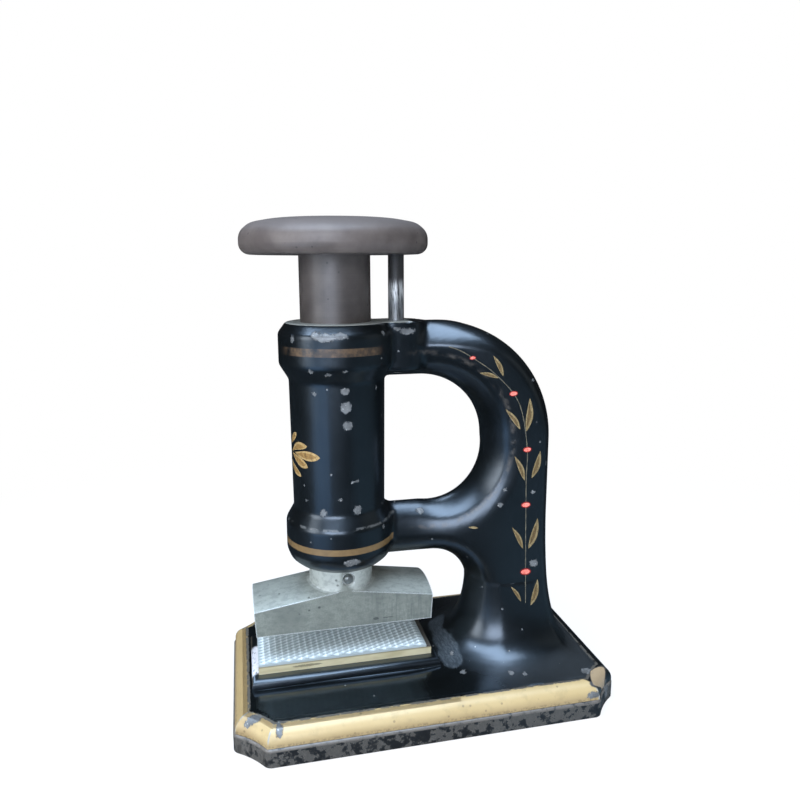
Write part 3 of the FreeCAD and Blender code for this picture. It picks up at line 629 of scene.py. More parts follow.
@dataclass(frozen=True)
class CastBody:
    """Barrel, guide boss, D-shaped arm and column as one distance field.

    Distances along X are counted from the plunger's axis, except in the slab's field.
    """

    axis_x: float
    top: float
    base_half_x: float
    base_half_y: float
    base_top: float = 12.12
    slab_bottom: float = 11.0
    slab_inset: float = 5.75
    corner_leg: float = 10.6
    corner_sag: float = 0.9
    # barrel: radius and height of each corner of its outline
    mouth: float = 52.0
    barrel: tuple[Spot, ...] = (
        (15.0, 40.0), (15.0, 52.0), (18.2, 54.7), (19.4, 58.0), (19.35, 68.4), (16.5, 73.4),
        (16.9, 119.6), (20.15, 125.0), (20.15, 135.8), (17.4, 139.4), (17.4, 146.0),
    )
    barrel_soft: float = 0.55
    barrel_step: float = 0.05
    mouth_round: float = 1.0
    # guide boss and the fillets that join it, the barrel and the arm
    boss_x: float = 21.6
    boss_radius: float = 9.2
    boss_bottom: float = 121.7
    boss_round: float = 1.8
    boss_power: float = 2.8
    boss_blend: float = 1.0
    arm_blend: float = 1.8
    arm_drop: float = 0.05
    top_round: float = 0.7
    foot_below_mouth: float = 12.0
    # outline of the arm and column: outside, hand opening and throat over the dies
    outer_x: float = 79.0
    outer_radius: float = 44.5
    grip_x: float = 30.0
    grip_z: float = 95.95
    grip_radius: float = 23.75
    grip_corner: float = 1.9
    throat_x: float = 49.0
    throat_z: float = 52.0
    throat_radius: float = 14.5
    front_spread: float = 0.6
    front_fall: float = 30.0
    back_spread: float = 3.8
    back_spread_top: float = 68.0
    back_fall: float = 48.0
    # thickness and rounding, as values at distances from the axis
    half_at: tuple[Spot, ...] = (
        (0.0, 7.1), (17.0, 7.1), (29.0, 7.7), (43.0, 10.7), (56.0, 12.6), (68.0, 12.9), (84.0, 12.6),
    )
    oval_share: float = 1.25
    grip_reach: float = 14.6
    throat_reach: float = 10.5
    bevel_power: float = 1.5
    outer_power: float = 1.6
    ridge_round: float = 2.5
    outer_reach: tuple[Spot, ...] = ((24.0, 11.0), (38.0, 9.6), (56.0, 6.2), (78.0, 5.6))
    outer_turn: tuple[Spot, ...] = ((24.0, 1.0), (38.0, 0.92), (56.0, 0.66), (78.0, 0.62))
    foot_reach: tuple[Spot, ...] = (
        (36.0, 40.0), (50.0, 40.0), (66.0, 43.0), (80.0, 33.0), (92.0, 15.0),
    )
    # grid that the mesh is taken from
    margin: float = 4.5
    grid_step: float = 0.95
    grid_rows: int = 78

    @cached_property
    def soft_profile(self) -> tuple[np.ndarray, np.ndarray, np.ndarray]:
        """Heights, radii and slopes of the barrel with softened corners."""
        heights = np.arange(self.barrel[0][1], self.barrel[-1][1], self.barrel_step)
        radii = np.interp(heights, [p[1] for p in self.barrel], [p[0] for p in self.barrel])
        span = np.arange(-3 * self.barrel_soft, 3 * self.barrel_soft, self.barrel_step)
        weights = np.exp(-((span / self.barrel_soft) ** 2) / 2)
        soft = np.convolve(np.pad(radii, len(span) // 2, "edge"), weights / weights.sum(), "same")
        soft = soft[len(span) // 2:][:len(heights)]
        return heights, soft, np.gradient(soft, heights)

    def barrel_field(self, u: np.ndarray, y: np.ndarray, z: np.ndarray) -> np.ndarray:
        """Turned barrel with its two collars."""
        heights, soft, slope = self.soft_profile
        steep = np.sqrt(1 + np.interp(z, heights, slope) ** 2)
        wall = (np.hypot(u, y) - np.interp(z, heights, soft)) / steep
        return round_cut(wall, self.mouth - z, self.mouth_round)

    def boss_field(self, u: np.ndarray, y: np.ndarray, z: np.ndarray) -> np.ndarray:
        """Upright guide boss with a rounded underside."""
        across = np.abs(u - self.boss_x) ** self.boss_power + np.abs(y) ** self.boss_power
        wall = across ** (1 / self.boss_power) - self.boss_radius + self.boss_round
        under = self.boss_bottom - z + self.boss_round
        outside = np.hypot(np.maximum(wall, 0), np.maximum(under, 0))
        return outside + np.minimum(np.maximum(wall, under), 0) - self.boss_round

    def arm_field(self, u: np.ndarray, y: np.ndarray, z: np.ndarray) -> np.ndarray:
        """Arm and column: a soft oval edge round the openings and a tighter one outside."""
        half = eased(u, self.half_at)
        drop = np.maximum(self.throat_z - self.throat_radius - z, 0) / self.front_fall
        lean = np.maximum(self.back_spread_top - z, 0) / self.back_fall
        front = u + self.front_spread * drop ** 2
        back = u - self.back_spread * lean ** 2
        top = self.top - self.arm_drop
        outer = rounded_corner(
            back - self.outer_x + self.outer_radius, z - top + self.outer_radius, self.outer_radius
        )
        across, up = np.maximum(u - self.grip_x, 0), z - self.grip_z
        reach = np.hypot(across, up)
        grip = reach - self.grip_radius
        grip = grip - self.grip_corner * np.maximum(-2 * across * up, 0) / np.maximum(reach, 1) ** 2
        throat = rounded_corner(
            front - self.throat_x + self.throat_radius, z - self.throat_z + self.throat_radius,
            self.throat_radius,
        )
        depth = np.abs(y)
        deep = half * self.oval_share
        over_grip = oval_edge(grip, depth, deep, self.grip_reach, deep, self.bevel_power)
        over_throat = oval_edge(throat, depth, deep, self.throat_reach, deep, self.bevel_power)
        ridged = round_cut(np.maximum(over_grip, over_throat), depth - half, self.ridge_round)
        turn = half * eased(u, self.outer_turn)
        tight = oval_edge(-outer, depth, half, eased(u, self.outer_reach), turn, self.outer_power)
        return np.maximum(np.maximum(ridged, tight), -u)

    def slab_field(self, x: np.ndarray, y: np.ndarray, z: np.ndarray) -> np.ndarray:
        """Thin slab that forms the flat top of the base, with its hollowed corners."""
        side, end = self.base_half_x - np.abs(x), self.base_half_y - np.abs(y)
        along = (side - end) / math.sqrt(2) / (self.corner_leg / math.sqrt(2))
        corner = (side + end - self.corner_leg) / math.sqrt(2) - self.corner_sag * (1 - along ** 2)
        inset = np.minimum(np.minimum(side, end), corner)
        return np.maximum(np.maximum(z - self.base_top, self.slab_bottom - z), self.slab_inset - inset)

    def field(self, points: np.ndarray) -> np.ndarray:
        """Signed distance at points given in the press's own frame."""
        x, y, z = points[..., 0], points[..., 1], points[..., 2]
        u = x - self.axis_x
        arm = self.arm_field(u, y, z)
        slab = self.slab_field(x, y, z)
        top = round_union(self.barrel_field(u, y, z), self.boss_field(u, y, z), self.boss_blend)
        top = round_union(top, arm, self.arm_blend)
        top = round_cut(top, z - self.top, self.top_round)
        foot = soft_union(arm, slab, eased(u, self.foot_reach))
        return np.where(z < self.mouth - self.foot_below_mouth, foot, top)

    def mesh(self, name: str) -> bpy.types.Mesh:
        """Mesh of the whole body, finer where the collars and the top face are."""
        reach_x, reach_y = self.base_half_x - self.margin, self.base_half_y - self.margin
        bands = (
            (self.slab_bottom - 1.4, 0.9), (self.mouth - 3, 0.6), (76, 1.25), (117.5, 0.6),
            (self.top + 1.5, 0.6),
        )
        heights = [np.arange(low, high, step) for (low, step), (high, _) in zip(bands, bands[1:])]
        axes = [
            np.arange(-reach_x, reach_x + 1, self.grid_step),
            np.linspace(-reach_y, reach_y, self.grid_rows),
            np.concatenate(heights),
        ]
        return field_mesh(self.field, axes, name)


Field = Callable[[np.ndarray], np.ndarray]


def settled(points: np.ndarray, distance: Field) -> np.ndarray:
    """Points moved onto the zero surface of a distance field, in a few short steps."""
    rounds, nudge, farthest, flattest = 4, 0.02, 0.35, 0.05
    for _ in range(rounds):
        slopes = [
            (distance(points + way * nudge) - distance(points - way * nudge)) / (2 * nudge)
            for way in np.eye(3)
        ]
        slope = np.stack(slopes, axis=1)
        steep = np.maximum((slope ** 2).sum(axis=1, keepdims=True), flattest)
        points = points - np.clip(slope * (distance(points)[:, None] / steep), -farthest, farthest)
    return points


def field_mesh(distance: Field, axes: Sequence[np.ndarray], name: str) -> bpy.types.Mesh:
    """Mesh of the zero surface of a distance field, with its points moved onto the surface.

    Args:
        distance: Distance at an array of points.
        axes: Grid levels along X, Y and Z.
        name: Name of the mesh.

    Returns:
        The mesh, in metres.
    """
    values = distance(np.stack(np.meshgrid(*axes, indexing="ij"), axis=-1))
    inside = values < 0
    nx, ny, nz = (size - 1 for size in inside.shape)
    counts = sum(
        inside[i:nx + i, j:ny + j, k:nz + k].astype(np.int8)
        for i in (0, 1) for j in (0, 1) for k in (0, 1)
    )
    cells = np.argwhere((counts > 0) & (counts < 8))
    index = np.full(counts.shape, -1, np.int64)
    index[tuple(cells.T)] = np.arange(len(cells))
    total = np.zeros((len(cells), 3))
    number = np.zeros((len(cells), 1))
    quads = []
    for axis in range(3):
        others = [other for other in range(3) if other != axis]
        step, first, second = np.eye(3, dtype=int)[[axis, *others]]
        for a in (0, 1):
            for b in (0, 1):
                start = cells + first * a + second * b
                at_start, at_end = values[tuple(start.T)], values[tuple((start + step).T)]
                crosses = (at_start < 0) != (at_end < 0)
                share = at_start[crosses] / (at_start[crosses] - at_end[crosses])
                total[crosses] += start[crosses] + share[:, None] * step
                number[crosses] += 1
        near, far = [slice(None)] * 3, [slice(None)] * 3
        near[axis], far[axis] = slice(0, -1), slice(1, None)
        edges = np.argwhere(inside[tuple(near)] != inside[tuple(far)])
        keep = np.all([(edges[:, o] > 0) & (edges[:, o] < counts.shape[o]) for o in others], axis=0)
        edges = edges[keep]
        around = [edges - first - second, edges - second, edges, edges - first]
        ring = np.stack([index[tuple(corner.T)] for corner in around], axis=1)
        outward = inside[tuple(edges.T)] == (axis != 1)
        ring[~outward] = ring[~outward][:, ::-1]
        quads.append(ring)
    middle = (total / number).T
    points = [np.interp(spots, np.arange(len(levels)), levels) for spots, levels in zip(middle, axes)]
    points = settled(np.stack(points, axis=1), distance)
    faces = np.concatenate(quads)
    mesh = bpy.data.meshes.new(name)
    mesh.from_pydata((points * MM).tolist(), [], faces.tolist())
    mesh.validate()
    return mesh


# ---- studio -----------------------------------------------------------------------------------
@dataclass(frozen=True)
class Softbox:
    """One rectangular lamp, in metres."""

    name: str
    place: Vector
    target: Vector
    width: float
    height: float
    watts: float
    tone: Tone

    def light(self) -> None:
        """Add the lamp."""
        data = bpy.data.lights.new(self.name, "AREA")
        data.shape = "RECTANGLE"
        data.size = self.width
        data.size_y = self.height
        data.energy = self.watts
        data.color = self.tone.linear()[:3]
        lamp = bpy.data.objects.new(self.name, data)
        lamp.location = self.place
        lamp.rotation_euler = (self.target - self.place).to_track_quat("-Z", "Y").to_euler()
        bpy.context.scene.collection.objects.link(lamp)


@dataclass
class Studio:
    """Camera, lamps, world and floor; the floor's ranges are millimetres from its middle."""

    eye: Vector = field(default_factory=lambda: Vector((-59.95, -242.7, 158.82)) * MM)
    azimuth: float = 12.74
    pitch: float = 11.04
    roll: float = 0.19
    focal_pixels: float = 696.55
    frame_pixels: float = 800.0
    soft_light: float = 0.24
    gloss_light: float = 0.014
    # directions of the lit and dim sectors painted on the floor as reflections for glossy rays
    lit_way: tuple[float, float, float] = (-0.78, -0.63, 0.0)
    dim_way: tuple[float, float, float] = (0.86, -0.51, 0.0)
    sensor: float = 36.0
    clip: tuple[float, float] = (0.01, 20.0)
    aim: Vector = field(default_factory=lambda: Vector((0, 0, 90)) * MM)
    floor_half: float = 3.0
    floor_drop: float = 0.2
    # distance at which the painted lit sector of the floor starts, and its softness
    lit_from: float = 190.0
    lit_soft: float = 60.0
    shadow_reach: float = 240.0
    shadow_soft: float = 120.0
    near_glow: float = 0.80

    def axes(self) -> tuple[Vector, Vector, Vector]:
        """Right, down and forward of the camera."""
        turn, tilt, roll = (math.radians(v) for v in (self.azimuth, self.pitch, self.roll))
        flat = math.cos(tilt)
        forward = Vector((math.sin(turn) * flat, math.cos(turn) * flat, -math.sin(tilt)))
        level = Vector((math.cos(turn), -math.sin(turn), 0))
        sunk = forward.cross(level)
        right = level * math.cos(roll) + sunk * math.sin(roll)
        down = sunk * math.cos(roll) - level * math.sin(roll)
        return right, down, forward

    def ray(self, pixel: tuple[float, float]) -> Vector:
        """Direction from the camera through a pixel of the 800-pixel frame."""
        right, down, forward = self.axes()
        middle = self.frame_pixels / 2
        across, under = pixel[0] - middle, pixel[1] - middle
        return (forward * self.focal_pixels + right * across + down * under).normalized()

    def camera(self) -> None:
        """Add the camera."""
        right, down, forward = self.axes()
        data = bpy.data.cameras.new("camera")
        data.sensor_width = self.sensor
        data.lens = self.focal_pixels / self.frame_pixels * self.sensor
        data.clip_start, data.clip_end = self.clip
        camera = bpy.data.objects.new("camera", data)
        turned = Matrix((right, -down, -forward)).transposed().to_4x4()
        camera.matrix_world = Matrix.Translation(self.eye) @ turned
        bpy.context.scene.collection.objects.link(camera)
        bpy.context.scene.camera = camera

    def lamps(self) -> None:
        """Add the softboxes."""
        for name, place, width, height, watts, tone in (
            ("ceiling", (-0.16, -0.14, 0.87), 0.84, 0.84, 17.0, Tone(210, 230, 255)),
            ("window", (-0.34, -0.80, 0.32), 0.62, 0.36, 5.0, Tone(226, 236, 255)),
            ("left_wall", (-0.84, -0.36, 0.30), 0.35, 0.50, 2.4, Tone(244, 247, 252)),
            ("right_wall", (0.78, -0.30, 0.34), 0.60, 0.60, 0.15, Tone(244, 250, 250)),
        ):
            Softbox(name, Vector(place), self.aim, width, height, watts, tone).light()

    def world(self) -> None:
        """White behind the object, dim in its gloss and soft as light."""
        world = bpy.data.worlds.new("surround")
        world.use_nodes = True
        nodes = NodeTree(world.node_tree)
        rays = nodes.add("ShaderNodeLightPath").outputs
        total: Any = self.soft_light
        for ray, strength in (
            ("Is Camera Ray", 1.0), ("Is Glossy Ray", self.gloss_light), ("Is Transmission Ray", 1.0),
        ):
            parts = (rays[ray], strength - self.soft_light, total)
            total = nodes.add("ShaderNodeMath", {"operation": "MULTIPLY_ADD"}, parts).outputs[0]
        back = nodes.tree.nodes["Background"].inputs
        nodes.join(back["Color"], WHITE)
        nodes.join(back["Strength"], total)
        bpy.context.scene.world = world

    def floor(self) -> None:
        """Pale floor under the base; glossy rays see painted reflections on it instead: a dark ground, a dim
        sector to the front right and a lit sector far off to the front left.
        """
        half, low = self.floor_half, -self.floor_drop * MM
        mesh = bpy.data.meshes.new("floor")
        rim = [(-half, -half, low), (half, -half, low), (half, half, low), (-half, half, low)]
        mesh.from_pydata(rim, [], [(0, 1, 2, 3)])
        shader = Shader("pale_floor")
        lit = shader.node("ShaderNodeEmission", None, {"Color": WHITE, "Strength": 1.0})
        path = shader.node("ShaderNodeLightPath")
        distance = shader.vector("LENGTH", shader.place).other("Value")
        way = shader.vector("NORMALIZE", shader.place)
        # Painted reflections: tones that only glossy rays see, standing in for the lit and dim parts of a
        # room mirrored in the gloss.
        lit_side = shader.vector("DOT_PRODUCT", way, self.lit_way).other("Value").above(0.950, 0.028)
        dim_side = shader.vector("DOT_PRODUCT", way, self.dim_way).other("Value").above(0.80, 0.16)
        mirrored = shader.blend(dim_side, Tone(29, 34, 36), Tone(76, 91, 96))
        far_off = distance.above(self.lit_from, self.lit_soft)
        mirrored = shader.blend(lit_side * far_off, mirrored, Tone(128, 154, 176))
        tone = shader.blend(path.other("Is Glossy Ray"), Tone(244, 244, 243), mirrored)
        shader.feed(Base_Color=tone, Roughness=0.8, Specular_IOR_Level=0.2)
        away = distance.above(self.shadow_reach, self.shadow_soft)
        share = path.other("Is Camera Ray") * mix(away, self.near_glow, 1.0)
        surface = Wire(shader, shader.surface.outputs[0])
        blended = shader.node("ShaderNodeMixShader", None, (share, surface, lit))
        shader.tree.links.new(blended.socket, shader.tree.nodes["Material Output"].inputs["Surface"])
        new_piece("floor", mesh, shader.material)

    def build(self) -> None:
        """Set up the whole studio."""
        bpy.context.scene.view_settings.view_transform = "Standard"
        self.camera()
        self.lamps()
        self.world()
        self.floor()


# ---- finishes ---------------------------------------------------------------------------------
class Finish:
    """A surface finish."""

    name: str

    def dress(self, shader: Shader) -> None:
        """Fill in the shader."""
        raise NotImplementedError

    def material(self) -> bpy.types.Material:
        """Build the material."""
        shader = Shader(self.name)
        self.dress(shader)
        return shader.material


@dataclass(frozen=True)
class PlainMetal(Finish):
    """Turned or ground metal with fine unevenness."""

    name: str
    tone: Tone
    roughness: float = 0.35
    metallic: float = 1.0
    dull: Tone = Tone(60, 58, 55)
    dull_share: float = 0.35

    def dress(self, shader: Shader) -> None:
        """Cloudy tarnish and a fine grain."""
        cloud = shader.noise(6.0, 4.0, 0.6).above(0.55, 0.2)
        grain = shader.noise(0.4, 3.0, 0.6)
        shader.feed(
            Base_Color=shader.blend(cloud * self.dull_share, self.tone, self.dull),
            Metallic=self.metallic,
            Roughness=mix(grain, self.roughness - 0.06, self.roughness + 0.12),
            Normal=shader.bump(grain, 0.004),
        )


@dataclass(frozen=True)
class Japan(Finish):
    """Black japan on iron, with gold lines and gold moulding, chipped and worn."""

    layout: Layout
    body: CastBody
    chips: tuple[Chip, ...]
    scuffs: tuple[Chip, ...]
    name: str = "japanned_iron"
    flat_top: float = 12.8
    flat_end: float = 50.0
    upper_line: tuple[float, float] = (129.2, 131.9)
    upper_line_ends: tuple[float, float] = (-17.6, 12.0)
    upper_line_radius: float = 20.7
    lower_line: tuple[float, float] = (60.3, 62.55)
    lower_line_radius: float = 19.9
    # heights and radius of the painted highlight line on the lower collar's shoulder
    shoulder: tuple[float, float] = (69.0, 69.7)
    shoulder_radius: float = 20.0
    ridge: tuple[float, float] = (8.0, 9.4)
    ridge_face: float = 6.5
    ridge_start: float = 26.0
    moulding_top: float = 14.0
    plinth_top: float = 6.4
    gold_inset: float = 5.55
    bare_from: float = 0.90
    # where the highlight is painted on the die pad's left end
    pad_face: tuple[float, float] = (13.9, 17.0)
    pad_end: float = -31.4
    pad_depth: tuple[float, float] = (-11.5, 6.8)
    film_from: float = 62.0
    top_face: float = 0.25
    top_face_end: float = 25.5
    gloss_tint: Tone = Tone(212, 233, 251)

    def dress(self, shader: Shader) -> None:
        """Lay iron, japan and gold over each other."""
        coats = JapanCoats(self, shader)
        coats.lines()
        coats.moulding()
        coats.plinth()
        coats.base_top()
        coats.wear()
        coats.feed()


class JapanCoats:
    """Coats of the japanned finish, laid group by group."""

    def __init__(self, finish: Japan, shader: Shader) -> None:
        """Work out what several groups share and lay the black ground."""
        self.finish, self.shader = finish, shader
        self.x, self.y, self.z = shader.x, shader.y, shader.z
        self.u = self.x - finish.layout.axis_x
        self.radius = (self.u * self.u + self.y * self.y) ** 0.5
        self.cloud = shader.noise(14.0, 3.0, 0.55)
        self.medium = shader.noise(3.2, 4.0, 0.6, shift=4.0)
        self.fine = shader.noise(0.9, 3.0, 0.6, shift=9.0)
        self.grime = shader.noise(5.5, 4.0, 0.65, shift=17.0)
        self.speckle = shader.noise(3.4, 6.0, 0.66, shift=23.0)
        self.flat = self.z.below(finish.flat_top, 0.3) * self.u.below(finish.flat_end, 20.0)
        self.plinth_mask = self.z.below(finish.plinth_top + 0.05, 0.06)
        black = shader.blend(self.cloud.above(0.5, 0.2), Tone(8, 10, 10), Tone(13, 16, 17))
        self.coats = Coats(shader, black, mix(self.medium, 0.26, 0.36) - self.flat * 0.17, 0.0)
        self.inset, self.mitre, self.along = self.outline()
        self.wavy = self.inset + (self.fine - 0.5) * 0.7
        above = self.z.above(finish.plinth_top + 0.1, 0.08)
        self.moulded = above * self.z.below(finish.moulding_top, 0.3)
        gilt = self.along.above(finish.bare_from, 0.05).high_of(self.x.below(0.0, 1.0))
        self.gold = self.wavy.below(finish.gold_inset, 0.10) * self.moulded * gilt
        self.chipped = self.chip_mask()

    def outline(self) -> tuple[Wire, Wire, Wire]:
        """Distance in from the base's outline, closeness to a mitre, way along a hollowed corner."""
        layout, body = self.finish.layout, self.finish.body
        side, end = layout.base_half_x - abs(self.x), layout.base_half_y - abs(self.y)
        along = (side - end) / body.corner_leg
        sunk = (1 - along * along) * body.corner_sag
        corner = (side + end - body.corner_leg) / math.sqrt(2) - sunk
        straight = side.low_of(end)
        return straight.low_of(corner), abs(straight - corner).below(0.26, 0.20), along

    def chip_mask(self) -> Wire:
        """Chips: placed ones, a random scatter and worn sharp edges."""
        shader, chips = self.shader, self.finish.chips
        scatter = shader.specks(6.5, 0.055, 2.0).high_of(shader.specks(11.0, 0.05, 7.0))
        placed = scatter.high_of(shader.spots(chips, shader.ragged(1.4, 3.4)))
        worn = shader.edge(0.8).above(0.10, 0.05) * self.grime.above(0.54, 0.04)
        return placed.high_of(worn * self.z.above(20.0, 2.0))

    def lines(self) -> None:
        """Rubbed ridge round the hand opening, gold lines and a pale line painted as a highlight on the
        shoulder below the barrel, broken up.
        """
        finish, body, blend, lay = self.finish, self.finish.body, self.shader.blend, self.coats.lay
        across = (self.x - (body.axis_x + body.grip_x)).high_of(0.0)
        up = self.z - body.grip_z
        out = (across * across + up * up) ** 0.5 - body.grip_radius
        face = abs(self.y).above(finish.ridge_face, 0.5) * self.u.above(finish.ridge_start, 4.0)
        rubbed = out.within(*finish.ridge, 0.7) * face * self.medium.above(0.52, 0.12)
        lay(rubbed * 0.55, Tone(92, 80, 66), 0.5, 0.2)
        upper = self.z.within(*finish.upper_line, 0.14) * self.radius.below(finish.upper_line_radius, 0.2)
        upper = upper * self.grime.below(0.62, 0.12) * self.u.within(*finish.upper_line_ends, 2.4)
        bronze = blend(self.medium.above(0.5, 0.12), Tone(112, 86, 58), Tone(76, 60, 44))
        lay(upper * 0.88, bronze, 0.45, 0.35)
        lower = self.z.within(*finish.lower_line, 0.12) * self.radius.below(finish.lower_line_radius, 0.2)
        lower = lower * self.grime.below(0.68, 0.06)
        lay(lower, blend(self.medium, Tone(160, 127, 78), Tone(112, 86, 52)), 0.40, 0.35)
        # painted highlight: a pale, broken line along the lower collar's shoulder
        shoulder = self.z.within(*finish.shoulder, 0.25) * self.radius.below(finish.shoulder_radius, 0.3)
        lay(shoulder * self.medium.above(0.51, 0.05) * 0.7, Tone(104, 103, 99), 0.5, 0.4)

    def moulding(self) -> None:
        """Gold on the moulding, dirty in its hollows and worn at its mitres and rim, with painted shade on
        its lower part and at its left end.
        """
        shader, blend, lay = self.shader, self.shader.blend, self.coats.lay
        light = blend(self.cloud, Tone(208, 182, 130), Tone(194, 166, 113))
        for share, tone in (
            (self.medium.above(0.60, 0.12) * 0.22, Tone(146, 126, 88)),
            # painted shade: darker low on the moulding and at its left end, which face away from the light
            (self.z.below(8.7, 1.5) * 0.55, Tone(160, 131, 84)),
            (self.x.below(-63.0, 2.5) * 0.5, Tone(152, 124, 80)),
        ):
            light = blend(share, light, tone)
        hollow = self.z.below(7.5, 0.5) * self.fine.above(0.52, 0.08)
        dirt = shader.specks(2.7, 0.15, 12.0).high_of(hollow)
        lay(self.gold, blend(dirt * 0.5, light, Tone(104, 84, 54)), 0.44, 0.15)
        lay(self.gold * self.mitre * self.medium.above(0.46, 0.06), Tone(168, 164, 152), 0.5, 0.2)
        inner = self.finish.gold_inset
        rim = self.wavy.within(inner - 0.55, inner + 0.45, 0.14) * self.moulded
        lay(rim * self.medium.above(0.42, 0.08), Tone(104, 98, 88), 0.5, 0.4)

    def plinth(self) -> None:
        """Worn plinth: bare iron between what is left of the black, with a broken pale line painted as a
        highlight along its upper edge.
        """
        blend, lay, top = self.shader.blend, self.coats.lay, self.finish.plinth_top
        iron = blend(self.fine, Tone(100, 93, 83), Tone(71, 67, 61))
        kept = (self.speckle - self.x.below(-58.0, 8.0) * 0.07).above(0.475, 0.08)
        lay(self.plinth_mask, blend(kept, iron, Tone(32, 30, 27)), 0.46, 0.2)
        border = self.speckle.within(0.455, 0.485, 0.014)
        lay(self.plinth_mask * border * 0.45, Tone(126, 118, 106), 0.45, 0.2)
        # painted highlight: a broken pale line along the plinth's upper edge
        pale = self.z.within(top - 1.0, top + 0.02, 0.15) * self.inset.below(1.2, 0.2)
        lay(pale * self.medium.above(0.42, 0.1), Tone(118, 110, 100), 0.45, 0.3)

    def base_top(self) -> None:
        """Painted highlight on the left end of the die pad, dull film, scuffs beside the foot and dust."""
        finish, shader, lay = self.finish, self.shader, self.coats.lay
        # painted highlight: the pad's top left of the dies is painted near white
        end = self.z.within(*finish.pad_face, 0.25) * self.u.below(finish.pad_end, 0.2)
        end = end * self.y.within(*finish.pad_depth, 1.0)
        lay(end * self.fine.below(0.62, 0.06), Tone(214, 212, 216), 0.5, 0.1)
        film = self.z.below(14.5, 1.5) * self.u.above(finish.film_from, 26.0)
        film = film * mix(self.grime, 0.5, 1.0) * self.inset.above(5.9, 0.3)
        lay(film * 0.85, Tone(54, 56, 56), 0.5, 0.0)
        lines = shader.noise(0.45, 4.0, 0.75, stretch=(1.5, 7, 1), shift=3.0).above(0.52, 0.12)
        scuffed = shader.blend(lines, Tone(44, 48, 50), Tone(84, 90, 93))
        lay(shader.spots(finish.scuffs, shader.ragged(2.4, 2.0, 14.0)) * 0.72, scuffed, 0.6, 0.0)
        dust = shader.specks(4.2, 0.055, 31.0) * self.z.below(22.0, 4.0) * self.z.above(11.9, 0.1)
        lay(dust * self.inset.above(6.4, 0.2) * 0.8, Tone(168, 168, 162), 0.6, 0.0)

    def wear(self) -> None:
        """Chips with painted glints, the tan patch on the front right corner and the bare top of the barrel.
        """
        finish, blend, lay = self.finish, self.shader.blend, self.coats.lay
        bare = blend(self.medium.above(0.5, 0.2), Tone(130, 129, 126), Tone(96, 95, 92))
        # painted glints: small bright specks in the bare iron of the chips
        bare = blend(self.fine.above(0.64, 0.03) * 0.6, bare, Tone(196, 194, 188))
        lay(self.chipped, bare, 0.5, 0.3)
        rise = self.inset / finish.gold_inset * 2 - 1
        almond = (1 - rise * rise) * 0.95 - abs(self.along - 0.06) + (self.medium - 0.5) * 0.16
        for beyond in (
            self.x.below(30.0, 1.0), self.y.above(-20.0, 1.0), self.z.above(13.5, 0.5),
            self.z.below(finish.plinth_top + 0.3, 0.2),
        ):
            almond = almond + beyond * -4
        lay(almond.above(0.0, 0.05), Tone(62, 56, 50), 0.5, 0.2)
        tan = blend(self.medium, Tone(196, 170, 134), Tone(160, 136, 104))
        lay(almond.above(0.14, 0.05), tan, 0.42, 0.1)
        face = self.z.above(finish.layout.barrel_top - finish.top_face, 0.06)
        face = face * self.u.below(finish.top_face_end, 0.4)
        lay(face, blend(self.fine, Tone(214, 216, 207), Tone(172, 175, 166)), 0.42, 0.15)

    def feed(self) -> None:
        """Feed the surface: uneven casting below, sunk chips and a clear coat on the japan."""
        bump = self.shader.bump
        uneven = bump(self.fine, 0.005, bump(self.medium, 0.018, bump(self.cloud, 0.16)))
        bare = self.gold.high_of(self.plinth_mask).high_of(self.flat)
        self.coats.feed(
            bump(1 - self.chipped, 0.09, uneven), Specular_IOR_Level=1.0, Coat_Weight=(1 - bare) * 0.5,
            Coat_Roughness=0.22, Specular_Tint=self.finish.gloss_tint,
        )


@dataclass(frozen=True)
class Turned(Finish):
    """Browned steel turned on a lathe, with faint rings left by the tool."""

    name: str
    tone: Tone
    dark: Tone
    axis_x: float
    metallic: float
    gloss: float
    # height above which the crown is painted darker as shade
    crown: float = 1000.0
    worn: float = 0.5
    roughness: float = 0.42
    ring: float = 0.35

    def dress(self, shader: Shader) -> None:
        """Rings about the axis, a cloudy tone, a crown painted darker and dull as painted shade, and light
        rubbing on the edges.
        """
        rings = shader.noise(self.ring, 2.0, 0.5, at=shader.around(self.axis_x))
        cloud = shader.noise(9.0, 4.0, 0.6)
        fine = shader.noise(0.6, 3.0, 0.6)
        cloudy = shader.blend(cloud.above(0.5, 0.22), self.tone, self.dark)
        coats = Coats(shader, cloudy, self.roughness, self.metallic)
        coats.lay(rings.above(0.60, 0.12) * 0.30, self.dark, self.roughness + 0.08, self.metallic)
        # painted shade: the crown is darkened and made dull against the lamp's sheen from above
        coats.lay(shader.z.above(self.crown, 1.8) * 0.9, self.dark, 0.8, 0.0)
        coats.lay(shader.specks(3.5, 0.10, 5.0) * 0.7, Tone(44, 38, 36), 0.6, 0.2)
        rubbed = shader.edge(0.9).above(0.06, 0.05) * fine.above(0.45, 0.1)
        coats.lay(rubbed * self.worn, Tone(150, 140, 134), 0.4, 0.7)
        coats.feed(shader.bump(rings * 0.7 + fine * 0.3, 0.010), Specular_IOR_Level=self.gloss)


